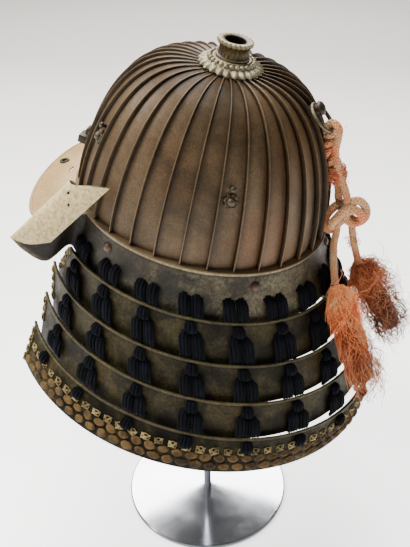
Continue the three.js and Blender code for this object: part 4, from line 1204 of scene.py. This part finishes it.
def brimPiece():
    rows, wearAndShade = [], []
    t, r, up = brim["thickness"], brim["rim"], np.array([0, 0, 1.0])
    gapFace = bandFace(brim["rootZ"]) + brim["gap"]
    footFace = bandFace(brim["flangeFoot"]) + brim["gap"]
    for u in np.linspace(-1, 1, brim["stations"]):
        degrees = np.array([-90 + u * brim["halfAngle"]])
        swing = math.cos(u * quarterTurn)
        root = besideLip(degrees, gapFace + t, brim["rootZ"])[0]
        rim = np.array([brim["rimHalfWidth"] * math.sin(u * quarterTurn),
                        -lerp(brim["rimSide"], brim["rimFront"], swing),
                        lerp(brim["rimSideZ"], brim["rimFrontZ"], swing)])
        rim = root + (rim - root) * (1 - 0.25 * abs(u) ** 12)
        out = unit(rim - root)
        section = [besideLip(degrees, gapFace, brim["rootZ"])[0]]
        for s in np.linspace(0, 0.955, 12):
            section.append(lerp(root, rim, s) + up * brim["swell"] * math.sin(s * math.pi))
        for a in np.radians(np.linspace(160, -100, 9)):      # the raised, rounded rim line
            section.append(rim - out * r + out * r * math.cos(a) + up * (r * math.sin(a) - 0.1))
        for s in np.linspace(0.95, 0.02, 9):
            section.append(lerp(root, rim, s) + up * (brim["swell"] * math.sin(s * math.pi) - t))
        for lift, z in ((gapFace + t, brim["rootZ"] - 3), (footFace + t, brim["flangeFoot"]),
                        (footFace, brim["flangeFoot"])):
            section.append(besideLip(degrees, lift, z)[0])
        rows.append(section)
        # negative values paint shade at the root and on the underside; the rim line's value is rubbed wear
        wearAndShade.append([-1.0] + [0.0] * 12 + [0.8] * 9 + [-1.0] * 12)
    piece = loftPiece("brim", toRow(np.array(rows)), wearAndShade=np.array(wearAndShade), angle=38)
    cutHoles(piece, [seat(brim["eyelet"], (1, 0, 0), (0, 0.1, 1))], brim["eyeletRadius"])
    slots = [seat((x, *brim["slotPlace"]), (1, 0, 0), (0, -0.25, 1)) for x in brim["slots"]]
    cutHoles(piece, slots, brim["slotRadius"], brim["slotStretch"])
    return piece


collar = {"radius": 4.9, "rise": 1.4, "profile": [      # share of the radius, height
    (0.53, -3.4), (0.53, -0.6), (1.0, -0.6), (1.0, 0.4), (0.92, 1.0), (0.76, 1.3), (0.6, 1.0),
    (0.5, 0.2), (0.5, -3.4)]}


def brimCollar():      # the worn iron ring beaten up round the brim's hole
    profile = [(r * collar["radius"], h) for r, h in collar["profile"]]
    piece = turned("brimCollar", profile, 28, 50, endless=True)
    place = np.array(brim["eyelet"]) + np.array([0, 0, collar["rise"]])
    piece.data.transform(seat(place, (1, 0, 0), (0, -0.33, 1)))
    return piece


dress(brimPiece(), brimIron, "brim_iron", "brim")
dress(brimCollar(), darkIron, "dark_iron")

holder = {"rise": 0.165, "plate": (15, 20, 1.6), "sleeve": (13, 8, 12.5), "sleeveDrop": 4,
          "lug": (10, 6.5, 7.5), "lugRise": 5, "slot": (9, 40, 3.2), "clear": 0.9}


def bevelBox(name, size, centre, bevel):
    alone()
    bpy.ops.mesh.primitive_cube_add(size=0.001, location=[c * 0.001 for c in centre])
    piece = bpy.context.object
    piece.name = name
    piece.scale = size
    settle(piece)
    modifier = piece.modifiers.new("edges", "BEVEL")
    modifier.width = bevel * 0.001
    modifier.segments = 3
    applyAll(piece)
    finishEdit(piece, 40)
    return piece


def crestHolder():
    c = holder["clear"]
    plateBox = bevelBox("crestHolder", holder["plate"], (0, 0, c + 0.8), 0.5)
    slot = bevelBox("slot", holder["slot"], (0, 0, c + 2 + holder["slot"][2] / 2 + 0.6), 0.5)
    parts = [plateBox]
    for key, rise in (("sleeve", -holder["sleeveDrop"]), ("lug", holder["lugRise"])):
        part = bevelBox(key, holder[key], (0, rise, c + 0.5 + holder[key][2] / 2), 1.1)
        cutWith(part, slot)
        parts.append(part)
    bpy.data.objects.remove(slot)
    piece = joinPieces("crestHolder", parts)
    out = rowDirection(bowlNormal(-90.0, holder["rise"]))
    up = rowDirection(bowlFace(-90.0, holder["rise"] + 0.01) - bowlFace(-90.0, holder["rise"]))
    spot = toRow(bowlFace(-90.0, holder["rise"]))
    piece.data.transform(basis(spot, Vector(up).cross(Vector(out)), out))
    finishEdit(piece, 35)
    return piece


dress(crestHolder(), darkIron, "dark_iron", "crest_holder")

ring = {"rise": 0.68, "radius": 14, "wire": 1.75, "wireHeight": 5, "lean": 10, "postRadius": 3.2,
        "post": [(6.0, 0.9), (6.2, 1.5), (5.4, 2.1), (4.2, 2.4), (3.3, 2.7), (3.1, 5), (3.3, 7.5),
                 (5.2, 7.9), (7.0, 8.6), (7.3, 9.6), (6.8, 10.8), (5.4, 11.9), (3.4, 12.6),
                 (1.2, 12.95), (0.05, 13.0)]}


def postShape(turn, radius, height):      # a petalled foot, and a head pressed a little flat
    wide = radius - (0.9 * np.abs(np.cos(turn * 4)) ** 2 if height < 2.2 else 0)
    return wide, wide * (1 if height < 7.7 else 0.86)


def ringPost():
    post = turned("backRingPost", ring["post"], 48, 35, postShape)
    out = bowlNormal(90.0, ring["rise"])
    post.data.transform(seat(bowlFace(90.0, ring["rise"]), (1, 0, 0), out))
    return post


def backRing():
    out = bowlNormal(90.0, ring["rise"])
    down = np.cross(out, np.array([1.0, 0, 0]))
    lean = math.radians(ring["lean"])
    turnX = np.array([[1, 0, 0], [0, math.cos(lean), -math.sin(lean)],
                      [0, math.sin(lean), math.cos(lean)]])
    hang, face = turnX @ unit(down), turnX @ out
    drop = ring["radius"] - 1.8 - ring["postRadius"] - 0.35
    centre = bowlFace(90.0, ring["rise"]) + out * ring["wireHeight"] + hang * drop
    side = np.cross(face, hang)
    t = ringTurns(56)[:, None]
    path = centre + ring["radius"] * (np.cos(t) * hang + np.sin(t) * side)
    wide = ringTurns(14)
    outward = unit(path - centre)
    rows = (path[:, None] + ring["wire"] * (np.cos(wide)[None, :, None] * outward[:, None]
                                            + np.sin(wide)[None, :, None] * face[None, None]))
    wearAndShade = np.tile(np.clip(np.cos(wide - 0.6), 0, 1) * 0.4, (56, 1))
    return loftPiece("backRing", toRow(rows), wearAndShade=wearAndShade, angle=80, endless=True)


dress(ringPost(), darkIron, "dark_iron", "back_ring_post")
dress(backRing(), darkIron, "dark_iron", "back_ring")
print("brim and fittings made")

stand = {"disc": 95, "thick": 5, "rod": 4, "cap": 30, "capTop": 535, "sides": 160}


def displayStand():
    disc, thick, rod, cap, top, sides = stand.values()
    profile = [(0.05, 0), (disc - 0.5, 0), (disc, 0.5), (disc, thick - 1.3), (disc - 0.25, thick - 0.5),
               (disc - 1.1, thick), (60, thick), (rod + 2.5, thick), (rod + 0.4, thick + 0.3),
               (rod, thick + 1), (rod, 150), (rod, 350), (rod, top - 12), (cap - 0.6, top - 8.3),
               (cap, top - 7.7), (cap * 0.6, top - 2.4), (0.05, top)]
    return turned("displayStand", profile, sides, 30)


dress(displayStand(), steel, "polished_steel", "display_stand")
print("stand made")

studio = {"floor": 12.0, "farTone": (206, 203, 197), "nearTone": (254, 254, 253),
          "fade": (-1.5, 0.2), "glow": 1.8, "sky": (0.97, 0.98, 1.0), "skyPower": (0.05, 0.6),
          "skyWay": (0.25, -0.8, 0.5),
          "dimSpot": ((-0.61, -0.09, 0.79), 0.9885, 0.9982),      # a dark thing in the disc's reflection
          "lamps": [      # place, size, power, colour; each lamp faces the helmet
              ((0.3, -1.5, 2.1), 0.8, 88, (1.0, 0.98, 0.95)),
              ((-1.7, -0.5, 2.0), 1.5, 92, (1.0, 0.98, 0.95)),
              ((-0.3, -0.1, 2.5), 0.9, 46, (1.0, 0.99, 0.97))]}


def floorMaterial():      # pale sheet with painted light: greyer towards the back, near white and glowing in front
    material, tree, shader, place = newMaterial("paleSheetPaintedLight", 0.0, roughness=0.6)
    parts = addNode(tree, "ShaderNodeSeparateXYZ", {0: place}).outputs
    lean = mathNode(tree, "ADD", parts[0], mathNode(tree, "MULTIPLY", parts[1], 0.2))
    cloud = noiseNode(tree, place, 2.2, 3.0, 0.5)
    lean = mathNode(tree, "ADD", lean, mathNode(tree, "MULTIPLY", cloud, 0.2))
    near = rangeNode(tree, lean, *studio["fade"], 0.0, 1.0)
    colour = rampNode(tree, near, toneStops([(0, *studio["farTone"]), (1, *studio["nearTone"])]))
    tree.links.new(colour, shader.inputs["Base Color"])
    # painted light: the floor glows, most strongly in front
    tree.links.new(colour, shader.inputs["Emission Color"])
    tree.links.new(mathNode(tree, "MULTIPLY", near, studio["glow"]), shader.inputs["Emission Strength"])
    return material


def setStudio():
    alone()
    bpy.ops.mesh.primitive_grid_add(x_subdivisions=8, y_subdivisions=8, size=studio["floor"])
    floor = bpy.context.object
    floor.name = "floor"
    floor.data.materials.append(floorMaterial())
    for k, (place, size, power, colour) in enumerate(studio["lamps"]):
        data = bpy.data.lights.new(f"lamp{k}", "AREA")
        data.size, data.energy, data.color = size, power, colour
        lamp = bpy.data.objects.new(f"lamp{k}", data)
        aim = Vector((0, 0, 0.35)) - Vector(place)
        lamp.location = place
        lamp.rotation_euler = aim.to_track_quat("-Z", "Y").to_euler()
        bpy.context.scene.collection.objects.link(lamp)
    world = bpy.data.worlds.new("studio")
    world.use_nodes = True
    tree = world.node_tree
    sky = tree.nodes["Background"]
    sky.inputs["Color"].default_value = (*studio["sky"], 1)
    way = addNode(tree, "ShaderNodeTexCoord").outputs["Generated"]      # the room is dimmer at one side

    def facing(direction):
        return addNode(tree, "ShaderNodeVectorMath", {0: way, 1: direction},
                       operation="DOT_PRODUCT").outputs["Value"]

    power = rangeNode(tree, facing(studio["skyWay"]), -0.7, 0.7, *studio["skyPower"])
    spot, outer, inner = studio["dimSpot"]
    dim = rangeNode(tree, facing(tuple(Vector(spot).normalized())), outer, inner, 1.0, 0.06)
    tree.links.new(mathNode(tree, "MULTIPLY", power, dim), sky.inputs["Strength"])
    bpy.context.scene.world = world


setStudio()
print("studio made")
